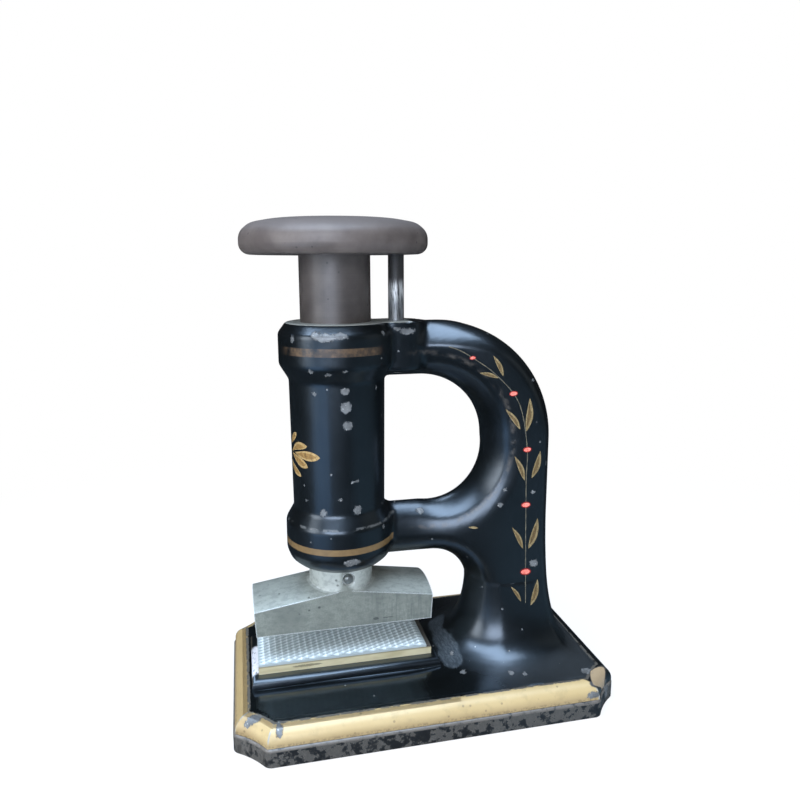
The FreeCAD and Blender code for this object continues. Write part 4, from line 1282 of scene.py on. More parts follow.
@dataclass(frozen=True)
class HeadIron(Finish):
    """Bare milled iron, grey with a green cast, pitted and streaked."""

    layout: Layout
    marks: tuple[Chip, ...]
    name: str = "head_iron"
    # bounds of the faces and the neck that get painted light
    front_depth: float = 0.35
    neck_reach: float = 166.0
    neck_low: float = 36.0
    low_band: float = 31.5

    def dress(self, shader: Shader) -> None:
        """Milled faces with painted light on the top faces and the neck, streaks down the right end, pits,
        and edges painted near white as worn metal and painted highlight.
        """
        u, y, z = shader.x - self.layout.axis_x, shader.y, shader.z
        cloud = shader.noise(11.0, 4.0, 0.6)
        fine = shader.noise(0.5, 3.0, 0.65, shift=3.0)
        streaks = shader.noise(0.8, 3.0, 0.6, stretch=(1.0, 1.0, 14.0), shift=6.0)
        grained = shader.blend(fine.above(0.5, 0.1), Tone(152, 156, 145), Tone(140, 144, 133))
        iron = shader.blend(cloud.above(0.5, 0.2), grained, Tone(127, 131, 122))
        coats = Coats(shader, iron, mix(fine, 0.34, 0.48), 0.3)
        # painted light: the faces behind the front face, more so to the right, and the neck are given a
        # paler tone
        upper = y.above(self.layout.head_low.y + self.front_depth, 0.15)
        neck = (u * u + y * y).below(self.neck_reach, 7.0) * z.above(self.neck_low, 1.5)
        painted_light = upper * mix(u.above(0.0, 8.0), 0.34, 0.66).high_of(neck)
        coats.lay(painted_light, shader.blend(cloud, Tone(196, 200, 191), Tone(168, 173, 165)), 0.45, 0.15)
        right = u.above(9.0, 9.0) * streaks.above(0.55, 0.09) * (1 - upper)
        coats.lay(right * 0.42, Tone(96, 102, 100), 0.5, 0.4)
        low_band = z.below(self.low_band, 1.2) * streaks.above(0.48, 0.12)
        coats.lay(low_band * 0.35, Tone(122, 128, 122), 0.5, 0.4)
        grit = shader.noise(1.7, 5.0, 0.7, stretch=(1.6, 1.0, 1.0), shift=12.0).above(0.53, 0.07)
        coats.lay(grit * 0.30, Tone(98, 104, 100), 0.5, 0.3)
        pits = shader.specks(3.4, 0.13, 1.0) * u.below(4.0, 14.0)
        coats.lay(pits * 0.75, Tone(66, 70, 66), 0.6, 0.3)
        marked = shader.spots(self.marks, shader.ragged(0.8, 0.5))
        coats.lay(marked * 0.7, Tone(70, 74, 72), 0.5, 0.4)
        # edges painted near white: worn bright metal and a painted highlight along them
        edge = shader.edge(0.7).above(0.05, 0.04)
        coats.lay(edge * fine.above(0.35, 0.15), Tone(240, 243, 240), 0.3, 0.5)
        grain = fine * 0.5 + streaks * 0.5
        coats.feed(shader.bump(1 - pits, 0.08, shader.bump(grain, 0.02, shader.bump(cloud, 0.10))))


@dataclass(frozen=True)
class DieSteel(Finish):
    """Steel cut into small pyramids, with painted highlights on the tips and painted shade in the valleys.
    """

    root: float
    tip: float
    name: str

    def dress(self, shader: Shader) -> None:
        """Tone by height between the root and the tips of the teeth: painted shade low down, painted
        highlight at the tips.
        """
        height = (shader.z - self.root) / (self.tip - self.root)
        fine = shader.noise(0.5, 3.0, 0.6)
        cloud = shader.noise(7.0, 3.0, 0.6, shift=5.0)
        sides = shader.blend(cloud, Tone(222, 230, 228), Tone(200, 208, 206))
        # painted shade in the valleys, paler sides and a painted highlight on the tips
        coats = Coats(shader, Tone(178, 187, 186), 0.5, 0.15)
        coats.lay(height.above(0.38, 0.22), sides, 0.46, 0.15)
        coats.lay(height.above(0.84, 0.08), Tone(240, 243, 238), 0.30, 0.2)
        coats.feed(shader.bump(fine, 0.01))


@dataclass(frozen=True)
class GuideSteel(Finish):
    """Guide rod: dark where it never runs in its bore and bright where it does."""

    worn_below: float = 151.0
    brightest: tuple[float, float] = (147.0, 152.0)
    name: str = "guide_steel"

    def dress(self, shader: Shader) -> None:
        """Dark upper part, rubbed lower part with upright streaks."""
        fine = shader.noise(0.5, 3.0, 0.6)
        streaks = shader.noise(0.5, 3.0, 0.6, stretch=(1.0, 1.0, 10.0), shift=2.0)
        coats = Coats(shader, shader.blend(fine, Tone(74, 72, 70), Tone(50, 48, 47)), 0.46, 0.3)
        rubbed = shader.blend(streaks.above(0.52, 0.1), Tone(150, 152, 152), Tone(96, 97, 98))
        coats.lay(shader.z.below(self.worn_below, 3.5), rubbed, 0.36, 0.5)
        bright = shader.z.within(*self.brightest, 2.6) * streaks.below(0.52, 0.10)
        coats.lay(bright, Tone(216, 216, 212), 0.34, 0.4)
        coats.feed(shader.bump(streaks, 0.012))


@dataclass(frozen=True)
class AgedBrass(Finish):
    """Brass strip under the lower die, dulled and stained along its front."""

    layout: Layout
    stains: tuple[Chip, ...]
    name: str = "brass"

    def dress(self, shader: Shader) -> None:
        """Dull brass with painted shade along its top under the die, a bright lower edge and a dark stain.
        """
        low, high = self.layout.bed_low.z, self.layout.bed_high.z
        fine = shader.noise(0.6, 3.0, 0.6)
        cloud = shader.noise(6.0, 3.0, 0.6, stretch=(3, 1, 1), shift=3.0)
        brass = shader.blend(cloud.above(0.5, 0.2), Tone(234, 222, 182), Tone(204, 190, 148))
        coats = Coats(shader, brass, mix(fine, 0.34, 0.50), 0.3)
        # painted shade: a darker line along the top edge, under the lower die
        coats.lay(shader.z.above(high - 0.45, 0.2) * 0.6, Tone(112, 104, 80), 0.5, 0.4)
        coats.lay(shader.z.below(low + 0.5, 0.2) * 0.6, Tone(232, 222, 186), 0.3, 0.4)
        bare_end = shader.x.above(self.layout.die_high.x - 0.05, 0.05) * shader.z.above(high - 0.15, 0.1)
        coats.lay(bare_end, Tone(92, 86, 78), 0.5, 0.2)
        stained = shader.spots(self.stains, shader.ragged(0.9, 0.8))
        coats.lay(stained * 0.65, Tone(92, 84, 66), 0.55, 0.2)
        coats.feed(shader.bump(fine, 0.012))


# ---- waffle teeth -----------------------------------------------------------------------------
@dataclass(frozen=True)
class Waffle:
    """Staggered pyramid teeth on a die's face, set out by Geometry Nodes."""

    name: str
    middle: Vector
    pitch: tuple[float, float]
    height: float
    downward: bool
    columns: int
    rows: int
    tip_share: float = 0.04
    foot_share: float = 0.996
    sunk: float = 0.02

    def tree(self, material: bpy.types.Material) -> bpy.types.NodeTree:
        """Geometry Nodes tree with named inputs for the field's sizes."""
        tree = bpy.data.node_groups.new(self.name, "GeometryNodeTree")
        tree.interface.new_socket("Geometry", in_out="INPUT", socket_type="NodeSocketGeometry")
        for title in ("Length", "Depth", "Pitch X", "Pitch Y", "Height", "Turn"):
            tree.interface.new_socket(title, in_out="INPUT", socket_type="NodeSocketFloat")
        for title in ("Columns", "Rows"):
            tree.interface.new_socket(title, in_out="INPUT", socket_type="NodeSocketInt")
        tree.interface.new_socket("Geometry", in_out="OUTPUT", socket_type="NodeSocketGeometry")
        given = tree.nodes.new("NodeGroupInput").outputs
        add = NodeTree(tree).add

        def less(first: str, second: Any) -> bpy.types.NodeSocket:
            """Difference of two inputs."""
            wanted = given[second] if isinstance(second, str) else second
            return add("ShaderNodeMath", {"operation": "SUBTRACT"}, (given[first], wanted)).outputs[0]

        outer = add("GeometryNodeMeshGrid", None, {
            "Size X": given["Length"], "Size Y": given["Depth"],
            "Vertices X": given["Columns"], "Vertices Y": given["Rows"],
        })
        inner = add("GeometryNodeMeshGrid", None, {
            "Size X": less("Length", "Pitch X"), "Size Y": less("Depth", "Pitch Y"),
            "Vertices X": less("Columns", 1), "Vertices Y": less("Rows", 1),
        })
        joined = add("GeometryNodeJoinGeometry")
        tree.links.new(outer.outputs["Mesh"], joined.inputs[0])
        tree.links.new(inner.outputs["Mesh"], joined.inputs[0])
        half = [
            add("ShaderNodeMath", {"operation": "MULTIPLY"}, (given[title], 0.5)).outputs[0]
            for title in ("Pitch X", "Pitch Y")
        ]
        scale = add("ShaderNodeCombineXYZ", None, (*half, 1.0))
        turn = add("ShaderNodeCombineXYZ", None, (given["Turn"],))
        tooth = add("GeometryNodeMeshCone", {"fill_type": "NGON"}, {
            "Vertices": 4, "Radius Top": self.tip_share, "Radius Bottom": self.foot_share,
            "Depth": given["Height"],
        })
        placed = add("GeometryNodeInstanceOnPoints", None, {
            "Points": joined.outputs[0], "Instance": tooth.outputs["Mesh"],
            "Rotation": turn.outputs[0], "Scale": scale.outputs[0],
        })
        real = add("GeometryNodeRealizeInstances", None, (placed.outputs[0],))
        done = add("GeometryNodeSetMaterial", None, {"Geometry": real.outputs[0], "Material": material})
        add("NodeGroupOutput", None, (done.outputs[0],))
        return tree

    def piece(self, material: bpy.types.Material) -> bpy.types.Object:
        """Set out the teeth and turn them into a plain mesh in its place."""
        pitch_x, pitch_y = self.pitch
        carrier = new_piece(self.name, bpy.data.meshes.new(self.name), material)
        tree = self.tree(material)
        modifier = carrier.modifiers.new("teeth", "NODES")
        modifier.node_group = tree
        values = {
            "Length": (self.columns - 1) * pitch_x * MM, "Depth": (self.rows - 1) * pitch_y * MM,
            "Pitch X": pitch_x * MM, "Pitch Y": pitch_y * MM, "Height": self.height * MM,
            "Turn": math.pi if self.downward else 0.0, "Columns": self.columns, "Rows": self.rows,
        }
        for item in tree.interface.items_tree:
            if item.in_out == "INPUT" and item.name in values:
                modifier[item.identifier] = values[item.name]
        graph = bpy.context.evaluated_depsgraph_get()
        mesh = bpy.data.meshes.new_from_object(carrier.evaluated_get(graph))
        carrier.modifiers.remove(modifier)
        sink = self.sunk if self.downward else -self.sunk
        mesh.transform(Matrix.Translation((self.middle + Vector((0, 0, sink))) * MM))
        mesh.name = self.name
        carrier.data = mesh
        return carrier


# ---- painted ornament -------------------------------------------------------------------------
Drawing = list[list[Spot]]


class Ornament:
    """Painted line, leaves and berries as thin raised coats that follow the casting."""

    root = 0.10
    leaf_rows = 12

    def __init__(self, body: CastBody, studio: Studio, casting: bpy.types.Object) -> None:
        """Get ready to lay paint on the casting."""
        self.body = body
        self.studio = studio
        self.surface = tree_of(casting.data)

    def seen(self, pixel: Spot) -> Vector:
        """Point of the casting behind a pixel, in millimetres."""
        hit = self.surface.ray_cast(self.studio.eye, self.studio.ray(pixel))
        if hit[0] is None:
            raise ValueError(f"nothing of the casting lies behind {pixel}")
        return hit[0] / MM

    def on_barrel(self, spot: Spot) -> Vector:
        """Point of the barrel, by the way round it from its left side and the height."""
        heights, radii, _ = self.body.soft_profile
        radius = float(np.interp(spot[1], heights, radii))
        angle = spot[0] / radius
        return Vector((self.body.axis_x - math.cos(angle) * radius, -math.sin(angle) * radius, spot[1]))

    def normals(self, rows: Sequence[Sequence[Vector]]) -> list[list[Vector]]:
        """Outward normals of the casting at rows of points."""
        here = np.array([[tuple(point) for point in row] for row in rows])
        steps = np.eye(3) * 0.05
        slopes = [self.body.field(here + step) - self.body.field(here - step) for step in steps]
        return [[Vector(slope).normalized() for slope in row] for row in np.stack(slopes, axis=-1)]

    def coat(
        self, shape: bmesh.types.BMesh, rows: Sequence[Sequence[Vector]], lift: float, far: bool
    ) -> None:
        """Add one closed patch of paint.

        Args:
            shape: Mesh that the patch is added to.
            rows: Points on the surface, row by row.
            lift: Thickness of the paint above the surface.
            far: Whether the patch is mirrored to the far side.
        """
        side = Vector((1, -1 if far else 1, 1)) * MM
        outward = self.normals(rows)
        top, bottom = (
            [
                [shape.verts.new((point + way * offset) * side) for point, way in zip(row, ways)]
                for row, ways in zip(rows, outward)
            ]
            for offset in (lift, -self.root)
        )
        quads = []
        for before, after, below, below_after in zip(top, top[1:], bottom, bottom[1:]):
            for j in range(len(before) - 1):
                quads.append((before[j], after[j], after[j + 1], before[j + 1]))
                quads.append((below[j], below[j + 1], below_after[j + 1], below_after[j]))
            quads.append((before[0], below[0], below_after[0], after[0]))
            quads.append((before[-1], after[-1], below_after[-1], below[-1]))
        for upper, lower, step in ((top[0], bottom[0], 1), (top[-1], bottom[-1], -1)):
            for j in range(len(upper) - 1):
                quads.append((upper[j], upper[j + 1], lower[j + 1], lower[j])[::step])
        for quad in quads:
            shape.faces.new(quad)

    @staticmethod
    def leaf(
        base: Spot, tip: Spot, width: float, round_end: bool = False, bend: float = 0.0, blunt: bool = False
    ) -> Drawing:
        """Rows of a leaf or a berry on a flat drawing.

        Args:
            base: One end.
            tip: The other end.
            width: Greatest width.
            round_end: Whether the ends are round, as on a berry.
            bend: Sideways bow, as a share of the length.
            blunt: Whether the tip is broad, as on a petal.

        Returns:
            Rows of points across it.
        """
        along = Vector(tip) - Vector(base)
        across = Vector((-along.y, along.x)).normalized()
        rows = []
        for step in range(Ornament.leaf_rows + 1):
            share = step / Ornament.leaf_rows
            if round_end:
                share = (1 - math.cos(math.pi * share)) / 2
                half = width / 2 * math.sqrt(max(1 - (2 * share - 1) ** 2, 0.004))
            else:
                lean, power = (1.5, 0.65) if blunt else (0.9, 0.85)
                half = width / 2 * max(math.sin(math.pi * share ** lean) ** power, 0.05)
            bow = across * bend * along.length * math.sin(math.pi * share)
            middle = Vector(base) + along * share + bow
            rows.append([tuple(middle + across * half * side) for side in (-1, -0.35, 0.35, 1)])
        return rows

    @staticmethod
    def line(spots: Sequence[Spot], width: float) -> Drawing:
        """Rows of a brush line through several spots."""
        points = [Vector(spot) for spot in spots]
        ends = [points[0] * 2 - points[1], *points, points[-1] * 2 - points[-2]]
        smooth: list[Vector] = []
        for before, start, end, after in zip(ends, ends[1:], ends[2:], ends[3:]):
            steps = max(int((end - start).length / 3), 1)
            for step in range(steps):
                t = step / steps
                smooth.append(0.5 * (
                    2 * start + (end - before) * t + (2 * before - 5 * start + 4 * end - after) * t * t
                    + (3 * start - before - 3 * end + after) * t ** 3
                ))
        smooth.append(points[-1])
        rows = []
        for index, point in enumerate(smooth):
            ahead = smooth[min(index + 1, len(smooth) - 1)] - smooth[max(index - 1, 0)]
            across = Vector((-ahead.y, ahead.x)).normalized()
            half = width / 2 * (0.85 + 0.3 * math.sin(index * 1.7))
            rows.append([tuple(point - across * half), tuple(point + across * half)])
        return rows

    def piece(
        self, name: str, drawings: Sequence[Drawing], place: Callable[[Spot], Vector], lift: float,
        finish: Finish, both_sides: bool,
    ) -> bpy.types.Object:
        """Lay several drawings as one piece of paint.

        Args:
            name: Name of the piece.
            drawings: Rows of each drawing.
            place: Takes a spot of the drawing to a point on the casting.
            lift: Thickness of the paint.
            finish: Its finish.
            both_sides: Whether the far side carries it too.

        Returns:
            The new piece.
        """
        mesh = bpy.data.meshes.new(name)
        with shaping(mesh) as shape:
            for drawing in drawings:
                rows = [[place(spot) for spot in row] for row in drawing]
                for far in (False, True)[:1 + both_sides]:
                    self.coat(shape, rows, lift, far)
            bmesh.ops.recalc_face_normals(shape, faces=shape.faces)
        return new_piece(name, mesh, finish.material())


@dataclass(frozen=True)
class BrushPaint(Finish):
    """Hand-laid paint, thicker in places."""

    name: str
    tone: Tone
    thin: Tone
    roughness: float = 0.45
    metallic: float = 0.2

    def dress(self, shader: Shader) -> None:
        """Streaky tone with small worn spots."""
        streaks = shader.noise(0.8, 3.0, 0.6, stretch=(1, 1, 2.5))
        spots = shader.noise(0.5, 2.0, 0.5, shift=8.0).above(0.63, 0.05)
        streaky = shader.blend(streaks.above(0.5, 0.14), self.tone, self.thin)
        coats = Coats(shader, streaky, self.roughness, self.metallic)
        coats.lay(spots * 0.6, Tone(44, 38, 32), 0.5, 0.1)
        coats.feed(shader.bump(streaks, 0.02))


# ---- sub-assemblies ---------------------------------------------------------------------------
@dataclass
class Assembly:
    """Pieces that are built together, with what every group of pieces needs."""

    nodes: Mapping[str, bpy.types.Object]
    layout: Layout
    body: CastBody
    studio: Studio

    def build(self) -> None:
        """Build and dress the pieces."""
        raise NotImplementedError

    def keep(self, piece: bpy.types.Object, body: Body, slot: str, *replaced: str) -> None:
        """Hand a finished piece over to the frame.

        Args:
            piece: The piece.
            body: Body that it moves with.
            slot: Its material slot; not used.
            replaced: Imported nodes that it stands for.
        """
        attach(piece, body.value)
        if replaced:
            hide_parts(*replaced)
        triangles = sum(len(face.vertices) - 2 for face in piece.data.polygons)
        LOG.info("%s: %d triangles", piece.name, triangles)

    def dress(self, node: str, material: bpy.types.Material) -> None:
        """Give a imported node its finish."""
        self.nodes[node].data.materials.clear()
        self.nodes[node].data.materials.append(material)

    def patches(self, surface: BVHTree, marks: Sequence[Mark]) -> tuple[Chip, ...]:
        """Patches on a surface.

        Args:
            surface: Surface that they lie on.
            marks: Middle, width and height of each, in pixels of the camera's frame.

        Returns:
            The patches that lie on the surface.
        """
        eye, found = self.studio.eye, []
        for across, down, width, height in marks:
            direction = self.studio.ray((across, down))
            hit = surface.ray_cast(eye, direction)
            if hit[0] is None:
                LOG.warning("nothing lies behind %s, %s", across, down)
                continue
            scale = (hit[0] - eye).length / MM / self.studio.focal_pixels / 2
            wide, tall = width * scale * 0.9, height * scale * 0.9
            sizes = (wide, wide, tall)
            if abs(hit[1].z) > 0.7:
                sizes = (wide, tall / max(abs(direction.z), 0.2), 2.0)
            found.append(Chip(tuple(hit[0] / MM), sizes))
        return tuple(found)


@dataclass
class Casting(Assembly):
    """Base, pad, column, arm and barrel: one casting under one finish."""

    room_radius: float = 12.0
    room_low: float = 45.0
    bush_seat: tuple[float, float] = (68.0, 76.0)
    bush_gap: float = 0.02
    stem_gap: float = 0.05
    bore_radius: float = 2.85
    bore_below_boss: float = 0.8
    screw_radius: float = 2.02
    screw_reach: tuple[float, float] = (5.0, 30.0)
    screw_height: float = 72.0
    past: float = 5.0
    pad_top: float = 30.0
    pad_beyond_bed: float = 4.0
    upper: Optional[bpy.types.Object] = None
    chips: tuple[Mark, ...] = (
        (292.2, 338.9, 6, 8), (325.0, 338.0, 26, 9), (316.0, 335.5, 11, 8), (341.0, 336.5, 15, 7),
        (310.4, 371.8, 6, 7), (327.8, 375.1, 6, 4), (345.6, 371.5, 5, 3), (345.1, 391.8, 9, 8),
        (346.2, 407.8, 12, 13), (347.8, 425.6, 11, 10), (355.6, 481.6, 8, 3), (357.8, 510.0, 9, 10),
        (323.3, 513.3, 8, 9), (340.4, 499.3, 4, 4), (304.4, 485.1, 3, 3), (306.7, 500.0, 3, 3),
        (376.2, 386.7, 3, 5), (314.0, 394.0, 5, 4), (352.2, 562.9, 18, 8), (311.6, 542.2, 2, 2),
        (407.8, 331.1, 18, 7), (397.0, 329.0, 8, 4), (383.3, 333.3, 6, 6), (420.0, 511.1, 8, 7),
        (383.3, 526.7, 4, 4), (534.0, 563.0, 9, 8), (533.0, 380.0, 5, 4), (546.0, 463.0, 3, 5),
        (500.0, 505.0, 6, 5), (505.0, 490.0, 4, 3), (533.0, 492.0, 4, 4),
        (452.0, 653.0, 3, 3), (463.0, 672.0, 6, 3), (511.0, 673.0, 5, 3), (525.0, 674.0, 3, 3),
    )
    scuffs: tuple[Mark, ...] = ((437, 622, 26, 26), (444, 640, 27, 28), (450, 656, 24, 22))
    corner_chips: tuple[Mark, ...] = (
        (254.0, 719.0, 16, 6), (247.0, 725.0, 7, 6), (279.5, 731.0, 7, 15), (587.0, 671.0, 12, 5),
        (606.0, 688.0, 9, 20), (594.0, 695.0, 14, 6),
    )

    def build(self) -> None:
        """Build the three pieces of the casting and give them one finish."""
        plain = bpy.data.materials.new("blank")
        self.upper = self.upper_body(plain)
        base, pad = self.base(plain), self.pad(plain)
        ground, surface = tree_of(base.data), tree_of(self.upper.data)
        finish = Japan(
            self.layout, self.body,
            self.patches(surface, self.chips) + self.patches(ground, self.corner_chips),
            self.patches(surface, self.scuffs),
        ).material()
        for piece in (self.upper, base, pad):
            piece.data.materials.clear()
            piece.data.materials.append(finish)
            self.keep(piece, Body.FRAME, "japanned_iron", "frame_casting")
        bpy.data.materials.remove(plain)

    def upper_body(self, material: bpy.types.Material) -> bpy.types.Object:
        """Barrel, boss, arm, column and the flat of the base, with their bores."""
        layout, body = self.layout, self.body
        piece = new_piece("casting", body.mesh("casting"), material)
        cut_off(piece, Vector((0, 0, body.slab_bottom + 0.4)), Vector((0, 0, -1)))
        low, high = self.bush_seat
        bush, stem = layout.bush_radius + self.bush_gap, layout.stem_radius + self.stem_gap
        end = body.top + self.past
        room = (
            (self.room_radius, self.room_low), (self.room_radius, low), (bush, low), (bush, high),
            (stem, high), (stem, end),
        )
        guide = tuple((self.bore_radius, z) for z in (body.boss_bottom - self.bore_below_boss, end))
        screw = tuple((self.screw_radius, y) for y in self.screw_reach)
        bore(piece, [
            turned(room, Vector((layout.axis_x, 0, 0)), "Z", 96),
            turned(guide, Vector((layout.guide_x, 0, 0)), "Z", 32),
            turned(screw, Vector((layout.axis_x, 0, self.screw_height)), "Y", 24),
        ])
        shade(piece, 40)
        return piece

    def base(self, material: bpy.types.Material) -> bpy.types.Object:
        """Plinth, moulding and hollow underside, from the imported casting."""
        piece = merged_copy(self.nodes["frame_casting"], "casting_base", material)
        cut_off(piece, Vector((0, 0, self.body.base_top - 0.05)), Vector((0, 0, 1)))
        shade(piece, 32)
        return piece

    def pad(self, material: bpy.types.Material) -> bpy.types.Object:
        """Raised pad under the dies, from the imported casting."""
        piece = merged_copy(self.nodes["frame_casting"], "casting_pad", material)
        cut_off(piece, Vector((0, 0, self.body.base_top - 0.5)), Vector((0, 0, -1)))
        cut_off(piece, Vector((0, 0, self.pad_top)), Vector((0, 0, 1)))
        cut_off(piece, Vector((self.layout.bed_high.x + self.pad_beyond_bed, 0, 0)), Vector((1, 0, 0)))
        shade(piece, 32)
        return piece


@dataclass
class Paintwork(Assembly):
    """Vine with berries on the arm and a flower on the barrel."""

    casting: bpy.types.Object
    vine: tuple[Spot, ...] = (
        (448.8, 346.4), (461.0, 351.0), (472.8, 357.9), (493.0, 372.0), (513.6, 393.6), (522.5, 414.0),
        (527.3, 449.6), (526.3, 476.0), (525.9, 504.8), (525.6, 538.0), (525.5, 571.6), (525.5, 602.9),
    )
    vine_width: float = 0.85
    berries: tuple[tuple[float, float, float], ...] = (
        (472.8, 357.9, 0.72), (513.6, 393.6, 1.0), (527.3, 449.6, 1.0), (525.9, 504.8, 1.1),
        (525.5, 571.6, 1.25),
    )
    berry: tuple[float, float, float] = (4.3, 0.7, 5.4)
    berry_fill: tuple[float, float] = (0.8, 3.7)
    leaves: tuple[tuple[Spot, Spot], ...] = (
        ((503.3, 376.0), (493.6, 356.0)), ((498.4, 378.0), (479.7, 373.0)), ((526.3, 431.2), (530.0, 398.5)),
        ((520.3, 429.4), (505.7, 409.4)), ((524.5, 480.3), (514.8, 456.6)), ((531.8, 477.8), (540.3, 451.2)),
        ((522.7, 548.4), (512.3, 527.7)), ((528.4, 548.4), (537.6, 518.5)), ((520.9, 601.2), (511.2, 586.9)),
        ((530.7, 605.2), (537.6, 579.4)),
    )
    leaf_bend: float = 0.05
    gloss: Mapping[str, tuple[float, float]] = field(
        default_factory=lambda: {"berry_rims": (0.4, 0.0), "berries": (0.35, 0.0)}
    )
    lone_leaf: tuple[Spot, Spot, float] = ((478.0, 528.0), (468.5, 527.2), 2.4)
    petals: tuple[tuple[Spot, Spot, float, float], ...] = (
        ((1.6, 97.1), (6.9, 101.9), 2.2, 0.0), ((2.6, 94.4), (12.6, 97.9), 2.7, 0.10),
        ((5.4, 94.6), (17.6, 94.4), 3.4, 0.0), ((2.8, 94.0), (12.6, 90.4), 3.1, 0.0),
        ((1.2, 90.9), (9.0, 86.6), 2.4, -0.04),
    )

    def build(self) -> None:
        """Lay every coat of paint as a piece of its own."""
        art = Ornament(self.body, self.studio, self.casting)
        leaves, leaf_cores = self.leaf_drawings()
        rims, fills = self.berry_drawings()
        petals, petal_cores = self.petal_drawings()
        vine = [Ornament.line(self.vine, self.vine_width)]
        seen, barrel = art.seen, art.on_barrel
        for name, drawings, place, lift, tone, thin in (
            ("vine_line", vine, seen, 0.03, Tone(124, 116, 94), Tone(92, 88, 76)),
            ("vine_leaves", leaves, seen, 0.05, Tone(154, 134, 94), Tone(130, 110, 72)),
            ("leaf_cores", leaf_cores, seen, 0.08, Tone(118, 95, 58), Tone(98, 78, 48)),
            ("berry_rims", rims, seen, 0.06, Tone(150, 34, 26), Tone(120, 22, 18)),
            ("berries", fills, seen, 0.11, Tone(252, 140, 122), Tone(232, 96, 80)),
            ("barrel_flower", petals, barrel, 0.05, Tone(186, 154, 100), Tone(164, 132, 82)),
            ("flower_cores", petal_cores, barrel, 0.09, Tone(158, 122, 68), Tone(136, 102, 54)),
        ):
            finish = BrushPaint(name + "_paint", tone, thin, *self.gloss.get(name, ()))
            piece = art.piece(name, drawings, place, lift, finish, place == seen)
            self.keep(piece, Body.FRAME, "japanned_iron")

    def leaf_drawings(self) -> tuple[list[Drawing], list[Drawing]]:
        """Leaves of the vine and the darker core of each."""
        leaves, cores = [], []
        for base, tip in self.leaves:
            start, way = Vector(base), Vector(tip) - Vector(base)
            leaves.append(Ornament.leaf(base, tip, way.length * 0.205, bend=self.leaf_bend))
            inner, outer = (tuple(start.lerp(Vector(tip), share)) for share in (0.14, 0.84))
            cores.append(Ornament.leaf(inner, outer, way.length * 0.10, bend=self.leaf_bend))
        leaves.append(Ornament.leaf(*self.lone_leaf))
        return leaves, cores

    def berry_drawings(self) -> tuple[list[Drawing], list[Drawing]]:
        """Red rim and coral middle of each berry."""
        reach, lean, thick = self.berry
        share, inner_thick = self.berry_fill
        rims, fills = [], []
        for x, y, size in self.berries:
            wide, tilt = reach * size, lean * size
            rims.append(Ornament.leaf((x - wide, y + tilt), (x + wide, y - tilt), thick * size, True))
            wide, tilt = wide * share, tilt * share
            fills.append(Ornament.leaf((x - wide, y + tilt), (x + wide, y - tilt), inner_thick * size, True))
        return rims, fills

    def petal_drawings(self) -> tuple[list[Drawing], list[Drawing]]:
        """Petals of the flower, on both sides of its middle, and the darker core of each."""
        petals, cores = [], []
        for base, tip, width, bend in self.petals:
            for side in (1, -1):
                first, last = Vector((base[0] * side, base[1])), Vector((tip[0] * side, tip[1]))
                petals.append(Ornament.leaf(tuple(first), tuple(last), width, bend=bend * side, blunt=True))
                inner, outer = tuple(first.lerp(last, 0.10)), tuple(first.lerp(last, 0.88))
                cores.append(Ornament.leaf(inner, outer, width * 0.60, bend=bend * side, blunt=True))
        return petals, cores


@dataclass
class Dies(Assembly):
    """Brass bed and both dies with their teeth."""

    teeth: tuple[int, int] = (14, 13)
    tooth: float = 0.62
    stain_from_axis: float = -14.5
    stain: tuple[float, float, float] = (5.4, 2.0, 0.45)

    def build(self) -> None:
        """Dress the bed and the dies, and set out the teeth."""
        layout = self.layout
        bed_middle = (layout.bed_low.z + layout.bed_high.z) / 2
        stained = (layout.axis_x + self.stain_from_axis, layout.bed_low.y, bed_middle)
        self.dress("die_bed", AgedBrass(layout, (Chip(stained, self.stain),)).material())
        low, high = layout.die_low, layout.die_high
        pitch = ((high.x - low.x) / self.teeth[0], (high.y - low.y) / self.teeth[1])
        for node, root, fewer, downward in (
            ("lower_die", high.z, (0, 0), False), ("upper_die", layout.upper_die_low.z, (1, 4), True),
        ):
            tip = root - self.tooth if downward else root + self.tooth
            finish = DieSteel(root, tip, "die_steel_" + node).material()
            self.dress(node, finish)
            middle = Vector(((low.x + high.x) / 2, (low.y + high.y) / 2, root))
            columns, rows = (count - less for count, less in zip(self.teeth, fewer))
            field_of_teeth = Waffle(node + "_teeth", middle, pitch, self.tooth, downward, columns, rows)
            body = Body.PLUNGER if downward else Body.FRAME
            self.keep(field_of_teeth.piece(finish), body, "die_steel")


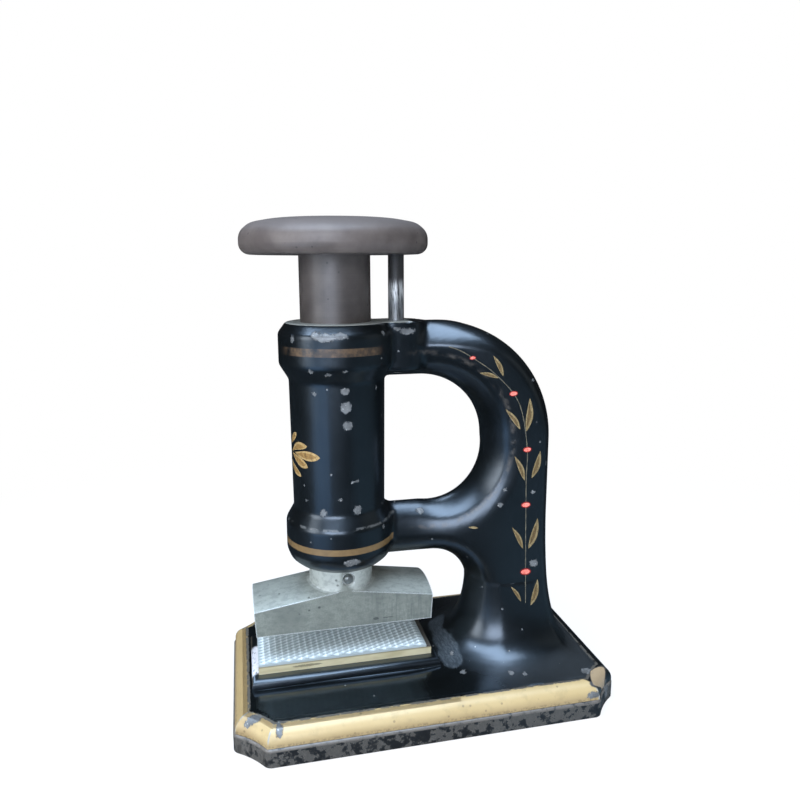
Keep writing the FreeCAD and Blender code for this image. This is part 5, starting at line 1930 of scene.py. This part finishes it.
@dataclass
class Plunger(Assembly):
    """Knob, stem, head, guide rod and what hides inside the barrel."""

    stroke: float = 9.6
    crown_depth: float = 4.4
    pin_turn: float = 6.0
    pin_seat_radius: float = 2.35
    pin_seats: tuple[float, float] = (10.7, -14.7)
    pin_seat_depth: float = 4.0
    pin_dome: tuple[Spot, ...] = ((0.25, 0.75), (0.8, 0.66), (1.3, 0.42), (1.65, 0.05), (1.8, -0.4))
    pin_sunk: float = 0.15
    marks: tuple[Mark, ...] = ((376.0, 618.5, 6, 3), (388.0, 617.0, 12, 1))

    def build(self) -> None:
        """Build and dress the plunger."""
        layout = self.layout
        crown = layout.knob_high.z - self.crown_depth
        axis = layout.axis_x
        knob = Turned("browned_knob", Tone(104, 94, 88), Tone(82, 73, 68), axis, 0.10, 0.6, crown, 0.15)
        stem = Turned("browned_stem", Tone(90, 82, 77), Tone(70, 63, 59), axis, 0.12, 1.0)
        head = HeadIron(layout, self.patches(tree_of(self.nodes["die_head"].data), self.marks))
        for node, name, finish, slot, degrees in (
            ("knob", "palm_knob", knob, "browned_iron", 30),
            ("plunger_stem", "stem", stem, "browned_iron", 30),
            ("die_head", "head", head, "head_iron", 24),
        ):
            piece = merged_copy(self.nodes[node], name, finish.material())
            if node == "die_head":
                bore(piece, [self.pin_seat(start) for start in self.pin_seats])
            shade(piece, degrees)
            self.keep(piece, Body.PLUNGER, slot, node)
        self.pin()
        self.dress("guide_rod", GuideSteel().material())
        self.hidden()
        self.spring()

    def across_neck(self, profile: Sequence[Spot]) -> bpy.types.Mesh:
        """Turned shape on the cross pin's line, which is turned a little towards the column."""
        mesh = turned(profile, Vector(), "Y", 32)
        turn = Matrix.Rotation(math.radians(self.pin_turn), 4, "Z")
        mesh.transform(Matrix.Translation(self.layout.pin * MM) @ turn)
        return mesh

    def pin_seat(self, start: float) -> bpy.types.Mesh:
        """Shallow round seat round one end of the cross pin."""
        ends = (start, start + self.pin_seat_depth)
        return self.across_neck(tuple((self.pin_seat_radius, y) for y in ends))

    def pin(self) -> None:
        """Cross pin with domed ends."""
        end = self.layout.pin_reach - self.pin_sunk
        profile = [(radius, -end - rise) for radius, rise in self.pin_dome]
        profile += [(radius, end + rise) for radius, rise in reversed(self.pin_dome)]
        steel = PlainMetal("pin_steel", Tone(134, 139, 136), 0.30, 0.6).material()
        pin = new_piece("cross_pin", self.across_neck(profile), steel)
        shade(pin, 40)
        self.keep(pin, Body.PLUNGER, "bright_steel", "head_cross_pin")

    def hidden(self) -> None:
        """Dress the pieces inside the barrel and under the dies."""
        bright = PlainMetal("bright_steel", Tone(176, 178, 174), 0.34).material()
        bronze = PlainMetal("bronze", Tone(176, 132, 84), 0.38).material()
        leather = PlainMetal("leather", Tone(112, 76, 50), 0.7, 0.0, Tone(70, 46, 32), 0.6).material()
        self.dress("plunger_bush", bronze)
        self.dress("return_buffer", leather)
        for node in (
            "stem_pin", "plunger_rod", "lower_spring_washer", "upper_spring_washer", "bush_set_screw",
            "lower_die_screws", "upper_die_screws",
        ):
            self.dress(node, bright)

    def spring(self) -> None:
        """Return spring, a smooth copy of the imported coil that stays with the frame."""
        steel = PlainMetal("spring_steel", Tone(120, 120, 124), 0.35).material()
        low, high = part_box("return_spring")
        piece = merged_copy(self.nodes["return_spring"], "coil_spring", steel)
        shade(piece, 60, weighted=False)
        self.keep(piece, Body.FRAME, "spring_steel", "return_spring")
        length = (high[2] - low[2]) / MM
        foot = (self.layout.axis_x * MM, 0.0, low[2])
        1 - self.stroke / length
        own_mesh(piece)


# ---- the press --------------------------------------------------------------------------------
@dataclass
class Press:
    """The whole press, made of its sub-assemblies."""

    nodes: Mapping[str, bpy.types.Object]

    def build(self) -> None:
        """Set up the studio and build every sub-assembly."""
        layout, studio = Layout.from_frame(), Studio()
        body = CastBody(layout.axis_x, layout.barrel_top, layout.base_half_x, layout.base_half_y)
        studio.build()
        shared = (self.nodes, layout, body, studio)
        casting = Casting(*shared)
        casting.build()
        for assembly in (Paintwork(*shared, casting.upper), Dies(*shared), Plunger(*shared)):
            assembly.build()


def main() -> None:
    """Build the press."""
    logging.basicConfig(level=logging.INFO, format="%(message)s")
    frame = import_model()
    Press(frame["nodes"]).build()


if __name__ == "__main__":
    main()
